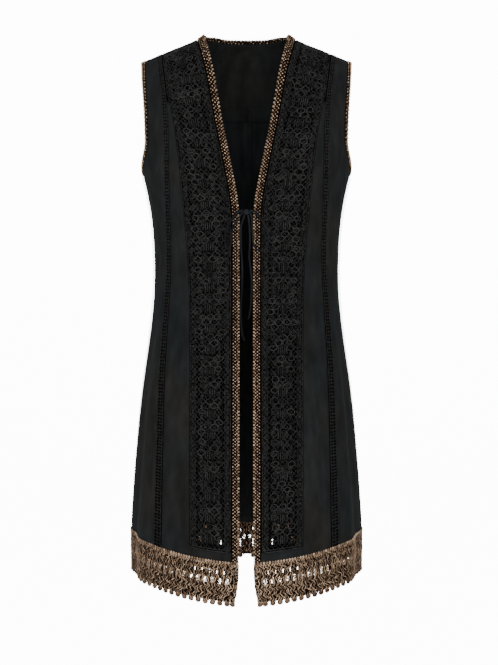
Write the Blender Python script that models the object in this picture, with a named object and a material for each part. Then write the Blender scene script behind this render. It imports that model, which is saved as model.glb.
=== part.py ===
"""Long suede vest with openwork crochet fronts, as the cloth pieces that a maker cuts and joins.

Metres, +Z up. The front looks towards -Y and the wearer's left is +X. The origin lies between the
shoulders, where the vest is held up. The vest hangs filled out and hollow, with no one in it.

A place on the cloth is given by three values. The side is LEFT or RIGHT. The turn is an angle round
the body: -90 degrees at the centre front, 0 at the side seam and 90 at the centre back. The drop is
the distance down the cloth from the shoulder seam.
"""

import math
from collections import namedtuple

import bmesh
import bpy
from mathutils import Matrix, Vector

LEFT = 1
RIGHT = -1
SIDE_LETTERS = {LEFT: "L", RIGHT: "R"}

# Walls and seams
SUEDE = 0.0016
CROCHET = 0.0022
EDGING_CROWN = 0.0010
SEAM_GAP = 0.0003
HALF_GAP = SEAM_GAP / 2

# Body form
SECTION_POWER = 2.3
SHOULDER_ROUND = 0.090
SHOULDER_SLOPE_ENDS = 0.150
HEM_SIDE_RISE = 0.028
HEM_RISE_POWER = 1.5
HEM_RISE_FROM = -0.600
SHOULDER_TURN = SHOULDER_ROUND * math.pi / 2

# Levels of the seams that run across, in metres from the shoulder line
YOKE_SEAM = -0.112
ARMHOLE_ROUND_TOP = -0.166
ARMHOLE_BOTTOM = -0.226
GORE_TOP = -0.102
BAND_TOP = -0.860
LACE_TOP = -0.877

# Widths of the trims
FRONT_EDGING_WIDTH = 0.012
NECK_EDGING_WIDTH = 0.010
ARMHOLE_EDGING_WIDTH = 0.010
SIDE_BRAID_HALF = 0.006

# Back neck, as an ellipse seen from above
NECK_HALF_WIDTH = 0.0865
NECK_DEPTH = 0.067
NECK_STEPS = 16
NECK_SEARCH_START = SHOULDER_TURN / 3
NECK_SEARCH_ROUNDS = 6

# Rows and columns of the walls
ARMHOLE_STRAIGHT_ROWS = 8
ARMHOLE_ROUND_ROWS = 5
SKIRT_ROWS = 12
ROW_CLEARANCE = 0.004
NARROW_COLUMNS = 2
HEM_BAND_COLUMNS = 5
SIDE_FRONT_COLUMNS = 6
BACK_COLUMNS = 11
YOKE_SHOULDER_COLUMNS = 5
SIDE_BRAID_ROWS = 14
FRONT_EDGING_ROWS = 50

# Steps of the searches and of the slopes read from the form
SEARCH_ROUNDS = 40
NORMAL_STEP = 0.002
SPEED_STEP = 0.001
HEM_LENGTH_STEPS = 400

# Openwork of the two front panels
OPENWORK_ROWS = 38
OPENWORK_TOP_MARGIN = 0.020
OPENWORK_BOTTOM_MARGIN = 0.006
OPENWORK_GAP_SHARE = 0.44
INNER_GAPS = (0.0, 0.33, 0.45, 0.55, 0.67, 1.0)
OUTER_GAPS = (0.0, 0.20, 0.32, 0.68, 0.80, 1.0)

# Hem lace
LACE_PITCH = 0.0123
LACE_GAP_WIDTH = 0.0048
LACE_FRONT_BAR = 0.016
LACE_GAP_TOP = -0.9015
LACE_GAP_FOOT = -0.9110
LACE_EDGE = -0.9410
LACE_PICOT_TIP = -0.9475
LACE_PICOT_TAPER = 0.0011

# Tie
LACE_CORD_RADIUS = 0.0015
CORD_POINT_STEP = 0.0090
KNOT_HALF_SIZES = (0.0055, 0.0038, 0.0046)
KNOT_CENTRE = (0.0, -0.1425, -0.2935)
KNOT_SEGMENTS = 12
KNOT_RINGS = 8
CORD_BEVEL_RESOLUTION = 2
CURVE_PARTS = 24

FormRow = namedtuple("FormRow", "level half_width front back")
FORM = (
    FormRow(0.040, 0.2090, 0.092, 0.103),
    FormRow(0.000, 0.2080, 0.092, 0.103),
    FormRow(-0.050, 0.2060, 0.096, 0.106),
    FormRow(-0.120, 0.2010, 0.106, 0.110),
    FormRow(-0.200, 0.1885, 0.124, 0.110),
    FormRow(-0.234, 0.1800, 0.128, 0.107),
    FormRow(-0.270, 0.1720, 0.128, 0.103),
    FormRow(-0.320, 0.1650, 0.121, 0.098),
    FormRow(-0.385, 0.1620, 0.112, 0.095),
    FormRow(-0.430, 0.1626, 0.113, 0.101),
    FormRow(-0.470, 0.1657, 0.117, 0.109),
    FormRow(-0.520, 0.1713, 0.125, 0.120),
    FormRow(-0.580, 0.1793, 0.135, 0.131),
    FormRow(-0.640, 0.1857, 0.143, 0.140),
    FormRow(-0.710, 0.1910, 0.151, 0.149),
    FormRow(-0.800, 0.1969, 0.158, 0.157),
    FormRow(-0.875, 0.2006, 0.163, 0.162),
    FormRow(-0.960, 0.1998, 0.166, 0.165),
)

ShoulderRow = namedtuple("ShoulderRow", "across height")
SHOULDER = (
    ShoulderRow(0.000, 0.0440),
    ShoulderRow(0.010, 0.0438),
    ShoulderRow(0.040, 0.0388),
    ShoulderRow(0.060, 0.0345),
    ShoulderRow(0.072, 0.0275),
    ShoulderRow(0.085, 0.0178),
    ShoulderRow(0.130, -0.0015),
    ShoulderRow(0.178, -0.0205),
    ShoulderRow(0.210, -0.0330),
)

SeamRow = namedtuple("SeamRow", "level across")
FRONT_EDGE = (
    SeamRow(0.030, 0.0770),
    SeamRow(0.000, 0.0745),
    SeamRow(-0.030, 0.0675),
    SeamRow(-0.067, 0.0570),
    SeamRow(-0.164, 0.0357),
    SeamRow(-0.230, 0.0224),
    SeamRow(-0.268, 0.0155),
    SeamRow(-0.300, 0.0125),
    SeamRow(-0.340, 0.0123),
    SeamRow(-0.960, 0.0123),
)
PANEL_SEAM = (
    SeamRow(-0.020, 0.1510),
    SeamRow(-0.092, 0.1362),
    SeamRow(-0.120, 0.1290),
    SeamRow(-0.160, 0.1215),
    SeamRow(-0.272, 0.1090),
    SeamRow(-0.384, 0.0998),
    SeamRow(-0.510, 0.0967),
    SeamRow(-0.775, 0.0953),
    SeamRow(-0.880, 0.0945),
)
INSERTION_CENTRE = (
    SeamRow(0.030, 0.1560),
    SeamRow(0.000, 0.1540),
    SeamRow(-0.032, 0.1490),
    SeamRow(-0.098, 0.1405),
    SeamRow(-0.161, 0.1370),
    SeamRow(-0.254, 0.1348),
    SeamRow(-0.385, 0.1328),
    SeamRow(-0.464, 0.1370),
    SeamRow(-0.568, 0.1430),
    SeamRow(-0.692, 0.1462),
    SeamRow(-0.880, 0.1492),
)
INSERTION_HALF = (
    SeamRow(0.000, 0.0045),
    SeamRow(-0.250, 0.0040),
    SeamRow(-0.450, 0.0042),
    SeamRow(-0.700, 0.0060),
    SeamRow(-0.880, 0.0070),
)
ARMHOLE_FRONT = (
    SeamRow(0.010, 0.1790),
    SeamRow(0.000, 0.1780),
    SeamRow(-0.050, 0.1745),
    SeamRow(-0.100, 0.1712),
    SeamRow(-0.150, 0.1695),
    SeamRow(-0.240, 0.1700),
)
ARMHOLE_BACK = (
    SeamRow(0.010, 0.1790),
    SeamRow(0.000, 0.1780),
    SeamRow(-0.050, 0.1735),
    SeamRow(-0.100, 0.1705),
    SeamRow(-0.150, 0.1690),
    SeamRow(-0.240, 0.1700),
)
LACE_FRONT_EDGE = (
    SeamRow(-0.866, 0.0123),
    SeamRow(-0.890, 0.0125),
    SeamRow(-0.910, 0.0140),
    SeamRow(-0.931, 0.0175),
    SeamRow(-0.951, 0.0225),
)

# Soft folds that grow from the waist down to the hem. The turn and spread are in degrees.
FoldRow = namedtuple("FoldRow", "side turn spread height top full")
FOLDS = (
    FoldRow(LEFT, -34.0, 5.0, 0.0030, -0.30, -0.62),
    FoldRow(LEFT, -23.0, 4.0, -0.0026, -0.36, -0.70),
    FoldRow(LEFT, -10.0, 5.0, 0.0028, -0.40, -0.76),
    FoldRow(LEFT, 16.0, 6.0, -0.0036, -0.36, -0.72),
    FoldRow(LEFT, 36.0, 7.0, 0.0050, -0.34, -0.68),
    FoldRow(LEFT, 57.0, 7.0, -0.0044, -0.42, -0.74),
    FoldRow(LEFT, 76.0, 6.0, 0.0036, -0.46, -0.80),
    FoldRow(RIGHT, -33.0, 5.5, 0.0034, -0.34, -0.66),
    FoldRow(RIGHT, -21.0, 4.5, -0.0030, -0.32, -0.68),
    FoldRow(RIGHT, -9.0, 4.5, 0.0024, -0.44, -0.78),
    FoldRow(RIGHT, 14.0, 5.0, -0.0030, -0.40, -0.74),
    FoldRow(RIGHT, 32.0, 7.0, 0.0046, -0.32, -0.70),
    FoldRow(RIGHT, 54.0, 6.5, -0.0050, -0.38, -0.72),
    FoldRow(RIGHT, 73.0, 6.0, 0.0040, -0.44, -0.78),
)

Finish = namedtuple("Finish", "name color roughness metallic")
BLACK_SUEDE = Finish("black_suede", (0.013, 0.016, 0.018, 1.0), 0.95, 0.0)
BLACK_YARN = Finish("black_yarn", (0.022, 0.022, 0.024, 1.0), 0.85, 0.0)
BRONZE_YARN = Finish("bronze_yarn", (0.26, 0.14, 0.075, 1.0), 0.45, 0.35)

# Routes of the laces, in metres: x, y, z
TIE_ROUTES = {
    "tie_span": (
        (-0.0180, -0.1290, -0.2925),
        (-0.0178, -0.1335, -0.2924),
        (-0.0120, -0.1371, -0.2925),
        (0.0000, -0.1368, -0.2935),
        (0.0120, -0.1371, -0.2925),
        (0.0178, -0.1335, -0.2924),
        (0.0180, -0.1290, -0.2925),
    ),
    "tie_loop_L": (
        (0.0059, -0.1430, -0.2905),
        (0.0150, -0.1420, -0.2940),
        (0.0252, -0.1385, -0.3062),
        (0.0321, -0.1350, -0.3183),
        (0.0368, -0.1315, -0.3284),
        (0.0373, -0.1280, -0.3420),
        (0.0339, -0.1262, -0.3520),
        (0.0261, -0.1260, -0.3578),
        (0.0170, -0.1290, -0.3555),
        (0.0122, -0.1330, -0.3460),
        (0.0110, -0.1375, -0.3320),
        (0.0100, -0.1405, -0.3160),
        (0.0088, -0.1420, -0.3020),
        (0.0065, -0.1422, -0.2953),
    ),
    "tie_loop_R": (
        (-0.0059, -0.1430, -0.2905),
        (-0.0145, -0.1420, -0.2945),
        (-0.0235, -0.1385, -0.3050),
        (-0.0305, -0.1350, -0.3160),
        (-0.0345, -0.1315, -0.3290),
        (-0.0350, -0.1280, -0.3440),
        (-0.0311, -0.1262, -0.3545),
        (-0.0262, -0.1275, -0.3480),
        (-0.0250, -0.1320, -0.3340),
        (-0.0222, -0.1365, -0.3200),
        (-0.0150, -0.1405, -0.3060),
        (-0.0062, -0.1422, -0.2950),
    ),
    "tie_end_L": (
        (0.0028, -0.1422, -0.2984),
        (0.0042, -0.1395, -0.3070),
        (0.0056, -0.1352, -0.3200),
        (0.0060, -0.1348, -0.3368),
        (0.0056, -0.1345, -0.3553),
        (0.0049, -0.1343, -0.3688),
        (0.0069, -0.1340, -0.3856),
        (0.0087, -0.1337, -0.4041),
        (0.0088, -0.1333, -0.4230),
        (0.0076, -0.1330, -0.4469),
        (0.0061, -0.1328, -0.4612),
        (0.0035, -0.1326, -0.4729),
    ),
    "tie_end_R": (
        (-0.0028, -0.1422, -0.2984),
        (-0.0062, -0.1392, -0.3080),
        (-0.0094, -0.1352, -0.3200),
        (-0.0090, -0.1346, -0.3420),
        (-0.0083, -0.1342, -0.3604),
        (-0.0069, -0.1340, -0.3790),
        (-0.0066, -0.1336, -0.4010),
        (-0.0072, -0.1333, -0.4240),
        (-0.0095, -0.1330, -0.4530),
        (-0.0088, -0.1327, -0.4790),
        (-0.0061, -0.1325, -0.5010),
        (-0.0025, -0.1324, -0.5094),
    ),
}


def clear_scene():
    """Remove every object that the file opened with."""
    for thing in list(bpy.data.objects):
        bpy.data.objects.remove(thing)


def make_material(finish):
    """Principled material of one finish."""
    material = bpy.data.materials.new(finish.name)
    material.use_nodes = True
    shader = material.node_tree.nodes["Principled BSDF"]
    shader.inputs["Base Color"].default_value = finish.color
    shader.inputs["Roughness"].default_value = finish.roughness
    shader.inputs["Metallic"].default_value = finish.metallic
    material.diffuse_color = finish.color
    return material


def smooth_step(start, end, value):
    """0 at start, 1 at end and level at both."""
    share = min(1.0, max(0.0, (value - start) / (end - start)))
    return share * share * (3 - 2 * share)


def read_table(rows, key, field, value):
    """Value of one column where another has the given value, on a smooth curve through the rows."""
    keys = [getattr(row, key) for row in rows]
    values = [getattr(row, field) for row in rows]
    if keys[0] > keys[-1]:
        keys.reverse()
        values.reverse()
    if value <= keys[0]:
        return values[0]
    if value >= keys[-1]:
        return values[-1]
    step = next(i for i in range(len(keys) - 1) if value <= keys[i + 1])
    slopes = [(values[i + 1] - values[i]) / (keys[i + 1] - keys[i]) for i in range(len(keys) - 1)]
    start_slope = slopes[step] if step == 0 else (slopes[step - 1] + slopes[step]) / 2
    end_slope = slopes[step] if step == len(slopes) - 1 else (slopes[step] + slopes[step + 1]) / 2
    width = keys[step + 1] - keys[step]
    share = (value - keys[step]) / width
    return (
        values[step] * (1 + 2 * share) * (1 - share) ** 2
        + start_slope * width * share * (1 - share) ** 2
        + values[step + 1] * share**2 * (3 - 2 * share)
        + end_slope * width * share**2 * (share - 1)
    )


def level_at(drop):
    """Height of the cloth below the shoulder line at a drop."""
    if drop < SHOULDER_TURN:
        return -SHOULDER_ROUND * (1 - math.cos(drop / SHOULDER_ROUND))
    return -SHOULDER_ROUND - (drop - SHOULDER_TURN)


def drop_at(level):
    """Drop at which the cloth reaches a level."""
    if level > -SHOULDER_ROUND:
        return SHOULDER_ROUND * math.acos(1 + level / SHOULDER_ROUND)
    return SHOULDER_TURN - SHOULDER_ROUND - level


def shoulder_cover(drop):
    """Share of the full depth that the cloth has reached below the shoulder seam."""
    return math.sin(min(drop / SHOULDER_ROUND, math.pi / 2))


def section_reach(turn):
    """Share of the half width and of the depth that the section has at a turn."""
    across = math.cos(turn)
    along = math.sin(turn)
    size = (abs(across) ** SECTION_POWER + abs(along) ** SECTION_POWER) ** (-1 / SECTION_POWER)
    return across * size, along * size


def fold_height(side, turn, level):
    """How far the soft folds lift the cloth at a place."""
    degrees = math.degrees(turn)
    return sum(
        fold.height
        * math.exp(-(((degrees - fold.turn) / fold.spread) ** 2))
        * smooth_step(fold.top, fold.full, level)
        for fold in FOLDS
        if fold.side == side
    )


def plain_point(turn, drop):
    """Point of the cloth's inner face without its folds, on the left side."""
    level = level_at(drop)
    across, along = section_reach(turn)
    depth = read_table(FORM, "level", "front" if along < 0 else "back", level)
    x = read_table(FORM, "level", "half_width", level) * across
    y = depth * along * shoulder_cover(drop)
    slope_share = 1 - smooth_step(0.0, SHOULDER_SLOPE_ENDS, -level)
    rise = HEM_SIDE_RISE * abs(across) ** HEM_RISE_POWER * smooth_step(HEM_RISE_FROM, LACE_TOP, level)
    z = level + read_table(SHOULDER, "across", "height", abs(x)) * slope_share + rise
    return Vector((x, y, z))


def plain_normal(turn, drop):
    """Outward normal of the cloth, on the left side."""
    along = plain_point(turn + NORMAL_STEP, drop) - plain_point(turn - NORMAL_STEP, drop)
    upper = max(0.0, drop - NORMAL_STEP)
    down = plain_point(turn, upper + 2 * NORMAL_STEP) - plain_point(turn, upper)
    return down.cross(along).normalized()


def cloth_point(side, turn, drop, lift):
    """Point a given height above the cloth's inner face, with its folds, on either side."""
    normal = plain_normal(turn, drop)
    height = lift + fold_height(side, turn, level_at(drop))
    point = plain_point(turn, drop) + normal * height
    point.x *= side
    return point


def turn_where(drop, reaches, low, high):
    """Turn between low and high at which a rising test first holds."""
    for _ in range(SEARCH_ROUNDS):
        middle = (low + high) / 2
        if reaches(plain_point(middle, drop)):
            high = middle
        else:
            low = middle
    return (low + high) / 2


def front_turn(across, drop):
    """Turn on the front at a distance from the centre plane."""
    return turn_where(drop, lambda point: point.x >= across, -math.pi / 2, 0.0)


def back_turn(across, drop):
    """Turn on the back at a distance from the centre plane, past 90 degrees on the right."""
    return turn_where(drop, lambda point: point.x <= across, 0.0, math.pi)


def seam_turn(table, drop):
    """Turn on the front of a seam whose distances stand in a table."""
    return front_turn(read_table(table, "level", "across", level_at(drop)), drop)


def turn_step(turn, drop, distance):
    """Change of turn that moves a place a short way round the cloth."""
    speed = (plain_point(turn + SPEED_STEP, drop) - plain_point(turn - SPEED_STEP, drop)).length
    return distance * 2 * SPEED_STEP / speed


def armhole_turn(table, drop, is_front):
    """Turn of the armhole's edge at a drop, which closes to the side seam at its bottom."""
    level = level_at(drop)
    if is_front:
        open_turn = front_turn(read_table(table, "level", "across", level), drop)
    else:
        open_turn = back_turn(read_table(table, "level", "across", level), drop)
    depth = (ARMHOLE_ROUND_TOP - level) / (ARMHOLE_ROUND_TOP - ARMHOLE_BOTTOM)
    return open_turn * math.sqrt(1 - min(1.0, max(0.0, depth)) ** 2)


def side_turn(drop):
    """Turn of the side braid's front edge."""
    return turn_where(drop, lambda point: point.y >= -SIDE_BRAID_HALF, -math.pi / 2, 0.0)


def front_outer_turn(drop):
    """Turn of the side front's outer edge: the armhole, then the side braid."""
    level = level_at(drop)
    if level > ARMHOLE_ROUND_TOP:
        return armhole_turn(ARMHOLE_FRONT, drop, True)
    if level < ARMHOLE_BOTTOM:
        return side_turn(drop)
    return min(armhole_turn(ARMHOLE_FRONT, drop, True), side_turn(drop))


def back_outer_turn(drop):
    """Turn of the back's outer edge: the armhole, then the side braid."""
    level = level_at(drop)
    if level > ARMHOLE_ROUND_TOP:
        return armhole_turn(ARMHOLE_BACK, drop, False)
    if level < ARMHOLE_BOTTOM:
        return -side_turn(drop)
    return max(armhole_turn(ARMHOLE_BACK, drop, False), -side_turn(drop))


def even_values(start, end, count):
    """Values spaced evenly from start to end, both included."""
    return [start + (end - start) * i / count for i in range(count + 1)]


def armhole_drops():
    """Drops of the rows beside the armhole, closer where its edge turns to the side seam."""
    upper = even_values(0.0, drop_at(ARMHOLE_ROUND_TOP), ARMHOLE_STRAIGHT_ROWS)
    height = ARMHOLE_ROUND_TOP - ARMHOLE_BOTTOM
    round_drops = [
        drop_at(ARMHOLE_ROUND_TOP - height * math.sin(math.pi / 2 * i / ARMHOLE_ROUND_ROWS))
        for i in range(1, ARMHOLE_ROUND_ROWS + 1)
    ]
    return upper + round_drops


def skirt_drops(foot_level):
    """Drops of the rows from below the armhole to a seam."""
    return even_values(drop_at(ARMHOLE_BOTTOM), drop_at(foot_level), SKIRT_ROWS)[1:]


def trim_rows(drops, top, foot):
    """Rows between two drops, which become the first and the last row."""
    between = [drop for drop in drops if top + ROW_CLEARANCE < drop < foot - ROW_CLEARANCE]
    return [top] + between + [foot]


def grid_between(drops, inner_turn, outer_turn, shares):
    """Rows of places between two seams, half a seam gap clear of each."""
    rows = []
    for drop in drops:
        inner = inner_turn(drop)
        outer = outer_turn(drop)
        inner += turn_step(inner, drop, HALF_GAP)
        outer -= turn_step(outer, drop, HALF_GAP)
        rows.append([(inner + (outer - inner) * share, drop) for share in shares])
    return rows


def shares_of(count):
    """Even shares of a width."""
    return even_values(0.0, 1.0, count)


class Wall:
    """Closed solid between an outer and an inner sheet of points with the same layout."""

    def __init__(self, outer, inner, is_mirrored=False, is_ring=False, missing=()):
        """Outer and inner hold rows of points. Missing holds the cells (row, column) cut through."""
        self.points = []
        self.faces = []
        self.is_mirrored = is_mirrored
        row_count = len(outer)
        column_count = len(outer[0])
        missing = set(missing)
        index = {}
        for i in range(row_count):
            for j in range(column_count):
                index[i, j] = len(self.points)
                self.points += [outer[i][j], inner[i][j]]
        wrap = row_count if is_ring else row_count - 1
        cells = [(i, j) for i in range(wrap) for j in range(column_count - 1) if (i, j) not in missing]
        edges = {}
        for i, j in cells:
            below = (i + 1) % row_count
            loop = [index[i, j], index[below, j], index[below, j + 1], index[i, j + 1]]
            self.add_face(loop)
            self.add_face([corner + 1 for corner in reversed(loop)], start=1)
            for k in range(4):
                edges[loop[k], loop[(k + 1) % 4]] = True
        for start, end in edges:
            if (end, start) not in edges:
                self.add_face([end, start, start + 1, end + 1])

    def add_face(self, loop, start=0):
        """Two triangles of a four-cornered face, split across the corner at start."""
        loop = loop[-start:] + loop[:-start] if start else loop
        for corners in ((loop[0], loop[1], loop[2]), (loop[0], loop[2], loop[3])):
            self.faces.append(tuple(reversed(corners)) if self.is_mirrored else corners)

    def build(self, name, material):
        """Mesh object of the wall, with only the points that its faces use."""
        used = sorted({corner for face in self.faces for corner in face})
        place = {corner: i for i, corner in enumerate(used)}
        mesh = bpy.data.meshes.new(name)
        faces = [tuple(place[corner] for corner in face) for face in self.faces]
        mesh.from_pydata([self.points[corner] for corner in used], [], faces)
        mesh.materials.append(material)
        thing = bpy.data.objects.new(name, mesh)
        bpy.context.collection.objects.link(thing)
        return thing


def cloth_wall(name, side, rows, thickness, material, missing=()):
    """Wall of cloth over rows of (turn, drop) places."""
    outer = [[cloth_point(side, turn, drop, thickness) for turn, drop in row] for row in rows]
    inner = [[cloth_point(side, turn, drop, 0.0) for turn, drop in row] for row in rows]
    return Wall(outer, inner, side == RIGHT, missing=missing).build(name, material)


def band(name, side, places, width, material, first=None, last=None, is_ring=False):
    """Crowned edging along a seam, laid flat out from the cloth on the side where the turn grows.

    A negative width lays it where the turn falls. First and last set the direction across the band
    at its ends.
    """
    points = [cloth_point(LEFT, turn, drop, 0.0) for turn, drop in places]
    if side == RIGHT:
        folded = [cloth_point(RIGHT, turn, drop, 0.0) for turn, drop in places]
        points = [Vector((-point.x, point.y, point.z)) for point in folded]
    normals = [plain_normal(turn, drop) for turn, drop in places]
    count = len(points)
    outer = []
    inner = []
    for i, point in enumerate(points):
        before = points[i - 1] if i or is_ring else point
        after = points[(i + 1) % count] if i < count - 1 or is_ring else point
        across = normals[i].cross(before - after).normalized() * -1
        if i == 0 and first is not None:
            across = first.normalized()
        if i == count - 1 and last is not None:
            across = last.normalized()
        across *= math.copysign(1.0, width)
        shares = (0.0, 0.5, 1.0)
        lifts = (CROCHET, CROCHET + EDGING_CROWN, CROCHET)
        starts = [point + across * (HALF_GAP + abs(width) * share) for share in shares]
        outer.append([start + normals[i] * lift for start, lift in zip(starts, lifts)])
        inner.append(starts)
    if width < 0:
        outer = [row[::-1] for row in outer]
        inner = [row[::-1] for row in inner]
    if side == RIGHT:
        outer = [[Vector((-p.x, p.y, p.z)) for p in row] for row in outer]
        inner = [[Vector((-p.x, p.y, p.z)) for p in row] for row in inner]
    return Wall(outer, inner, side == RIGHT, is_ring).build(name, material)


def front_edge_seam(drop):
    """Turn of the seam between the front edging and the crochet panel."""
    return front_turn(
        read_table(FRONT_EDGE, "level", "across", level_at(drop)) + FRONT_EDGING_WIDTH, drop
    )


def insertion_inner(drop):
    """Turn of the narrow insertion's seam towards the centre front."""
    level = level_at(drop)
    centre = read_table(INSERTION_CENTRE, "level", "across", level)
    return front_turn(centre - read_table(INSERTION_HALF, "level", "across", level), drop)


def insertion_outer(drop):
    """Turn of the narrow insertion's seam towards the side."""
    level = level_at(drop)
    centre = read_table(INSERTION_CENTRE, "level", "across", level)
    return front_turn(centre + read_table(INSERTION_HALF, "level", "across", level), drop)


def panel_outer(drop):
    """Turn of the crochet panel's outer seam, which is the insertion's above the gore."""
    return min(seam_turn(PANEL_SEAM, drop), insertion_inner(drop))


def front_panel(side, material):
    """Openwork crochet panel, with the largest gaps of each repeat cut through."""
    top = HALF_GAP
    foot = drop_at(BAND_TOP + HALF_GAP)
    pitch = (foot - top - OPENWORK_TOP_MARGIN - OPENWORK_BOTTOM_MARGIN) / OPENWORK_ROWS
    drops = [top]
    layouts = [INNER_GAPS]
    missing = []
    for i in range(OPENWORK_ROWS):
        start = top + OPENWORK_TOP_MARGIN + pitch * (i + (1 - OPENWORK_GAP_SHARE) / 2)
        layout = OUTER_GAPS if i % 2 else INNER_GAPS
        missing += [(len(drops), 1), (len(drops), 3)]
        drops += [start, start + pitch * OPENWORK_GAP_SHARE]
        layouts += [layout, layout]
    drops.append(foot)
    layouts.append(INNER_GAPS)
    rows = []
    for drop, layout in zip(drops, layouts):
        rows += grid_between([drop], front_edge_seam, panel_outer, layout)
    return cloth_wall(f"front_crochet_{SIDE_LETTERS[side]}", side, rows, CROCHET, material, missing)


def front_gore(side, material):
    """Suede wedge between the crochet panel and the narrow insertion."""
    drops = trim_rows(armhole_drops() + skirt_drops(LACE_TOP), drop_at(GORE_TOP), foot_drop())
    rows = grid_between(drops, panel_outer, insertion_inner, shares_of(NARROW_COLUMNS))
    return cloth_wall(f"front_gore_{SIDE_LETTERS[side]}", side, rows, SUEDE, material)


def foot_drop():
    """Drop at which the pieces above the hem lace end."""
    return drop_at(LACE_TOP + HALF_GAP)


def front_insertion(side, material):
    """Narrow openwork braid from the shoulder to the hem lace."""
    drops = trim_rows(armhole_drops() + skirt_drops(LACE_TOP), HALF_GAP, foot_drop())
    rows = grid_between(drops, insertion_inner, insertion_outer, shares_of(NARROW_COLUMNS))
    return cloth_wall(f"front_insertion_{SIDE_LETTERS[side]}", side, rows, CROCHET, material)


def side_front(side, material):
    """Suede piece from the insertion to the armhole and the side seam."""
    drops = trim_rows(armhole_drops() + skirt_drops(LACE_TOP), HALF_GAP, foot_drop())
    rows = grid_between(drops, insertion_outer, front_outer_turn, shares_of(SIDE_FRONT_COLUMNS))
    return cloth_wall(f"side_front_{SIDE_LETTERS[side]}", side, rows, SUEDE, material)


def front_hem_band(side, material):
    """Plain suede strip under the crochet panel."""
    drops = [drop_at(BAND_TOP - HALF_GAP), foot_drop()]
    rows = grid_between(drops, front_edge_seam, panel_outer, shares_of(HEM_BAND_COLUMNS))
    return cloth_wall(f"front_hem_band_{SIDE_LETTERS[side]}", side, rows, SUEDE, material)


def side_braid(side, material):
    """Bronze crochet strip in the side seam."""
    drops = even_values(drop_at(ARMHOLE_BOTTOM - HALF_GAP), foot_drop(), SIDE_BRAID_ROWS)
    rows = grid_between(drops, side_turn, lambda drop: -side_turn(drop), shares_of(NARROW_COLUMNS))
    return cloth_wall(f"side_braid_{SIDE_LETTERS[side]}", side, rows, CROCHET, material)


def back_panel(side, material):
    """Suede back below the yoke, half of the width."""
    top = drop_at(YOKE_SEAM - HALF_GAP)
    drops = trim_rows(armhole_drops() + skirt_drops(LACE_TOP), top, foot_drop())
    rows = grid_between(drops, back_outer_turn, lambda drop: math.pi / 2, shares_of(BACK_COLUMNS))
    return cloth_wall(f"back_{SIDE_LETTERS[side]}", side, rows, SUEDE, material)


def back_drop_at(across, depth):
    """Drop at which the upper back lies at a distance across and a depth behind the centre."""
    drop = NECK_SEARCH_START
    for _ in range(NECK_SEARCH_ROUNDS):
        turn = back_turn(across, drop)
        full = plain_point(turn, drop).y / shoulder_cover(drop)
        drop = SHOULDER_ROUND * math.asin(min(1.0, depth / full))
    return drop


def neck_place(angle, clearance):
    """Place on the back neck seam at an angle of its ellipse, moved out by a clearance."""
    across = (NECK_HALF_WIDTH + clearance) * math.cos(angle)
    depth = max(HALF_GAP, (NECK_DEPTH + clearance) * math.sin(angle))
    drop = back_drop_at(across, depth)
    return back_turn(across, drop), drop


def back_yoke(material):
    """Suede yoke across the shoulders, from the back neck to the yoke seam."""
    shoulder_end = read_table(ARMHOLE_BACK, "level", "across", 0.0)
    neck_end = NECK_HALF_WIDTH + HALF_GAP
    columns = []
    for i in range(YOKE_SHOULDER_COLUMNS):
        across = shoulder_end + (neck_end - shoulder_end) * i / YOKE_SHOULDER_COLUMNS
        columns.append((across / shoulder_end, HALF_GAP))
    for angle in even_values(0.0, math.pi, NECK_STEPS):
        turn, drop = neck_place(angle, HALF_GAP)
        edge = read_table(ARMHOLE_BACK, "level", "across", level_at(drop)) - HALF_GAP
        columns.append((plain_point(turn, drop).x / edge, drop))
    columns += [(-share, drop) for share, drop in reversed(columns[:YOKE_SHOULDER_COLUMNS])]
    foot = drop_at(YOKE_SEAM + HALF_GAP)
    side_drops = trim_rows(armhole_drops(), HALF_GAP, foot)
    steps = [(drop - HALF_GAP) / (foot - HALF_GAP) for drop in side_drops]
    rows = []
    for step in steps:
        row = []
        for share, top in columns:
            drop = top + (foot - top) * step
            edge = read_table(ARMHOLE_BACK, "level", "across", level_at(drop)) - HALF_GAP
            row.append((back_turn(share * edge, drop), drop))
        rows.append(row)
    return cloth_wall("back_yoke", LEFT, rows, SUEDE, material)


def front_edging(side, material):
    """Bronze edging of one front, from the shoulder seam to the hem lace."""
    drops = even_values(HALF_GAP, foot_drop(), FRONT_EDGING_ROWS)
    places = [(front_edge_seam(drop), drop) for drop in drops]
    shoulder_line = seam_direction()
    name = f"front_edging_{SIDE_LETTERS[side]}"
    return band(name, side, places, -FRONT_EDGING_WIDTH, material, first=-shoulder_line,
                last=Vector((1.0, 0.0, 0.0)))


def seam_direction():
    """Direction of the shoulder seam towards the neck, on the left."""
    inner = read_table(SHOULDER, "across", "height", NECK_HALF_WIDTH - NECK_EDGING_WIDTH)
    outer = read_table(SHOULDER, "across", "height", NECK_HALF_WIDTH)
    return Vector((-NECK_EDGING_WIDTH, 0.0, inner - outer))


def neck_edging(material):
    """Bronze edging of the back neck, between the two shoulder seams."""
    places = [neck_place(angle, 0.0) for angle in even_values(0.0, math.pi, NECK_STEPS)]
    left_end = seam_direction()
    right_end = Vector((-left_end.x, 0.0, left_end.z))
    return neck_band(places, left_end, right_end, material)


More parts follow.
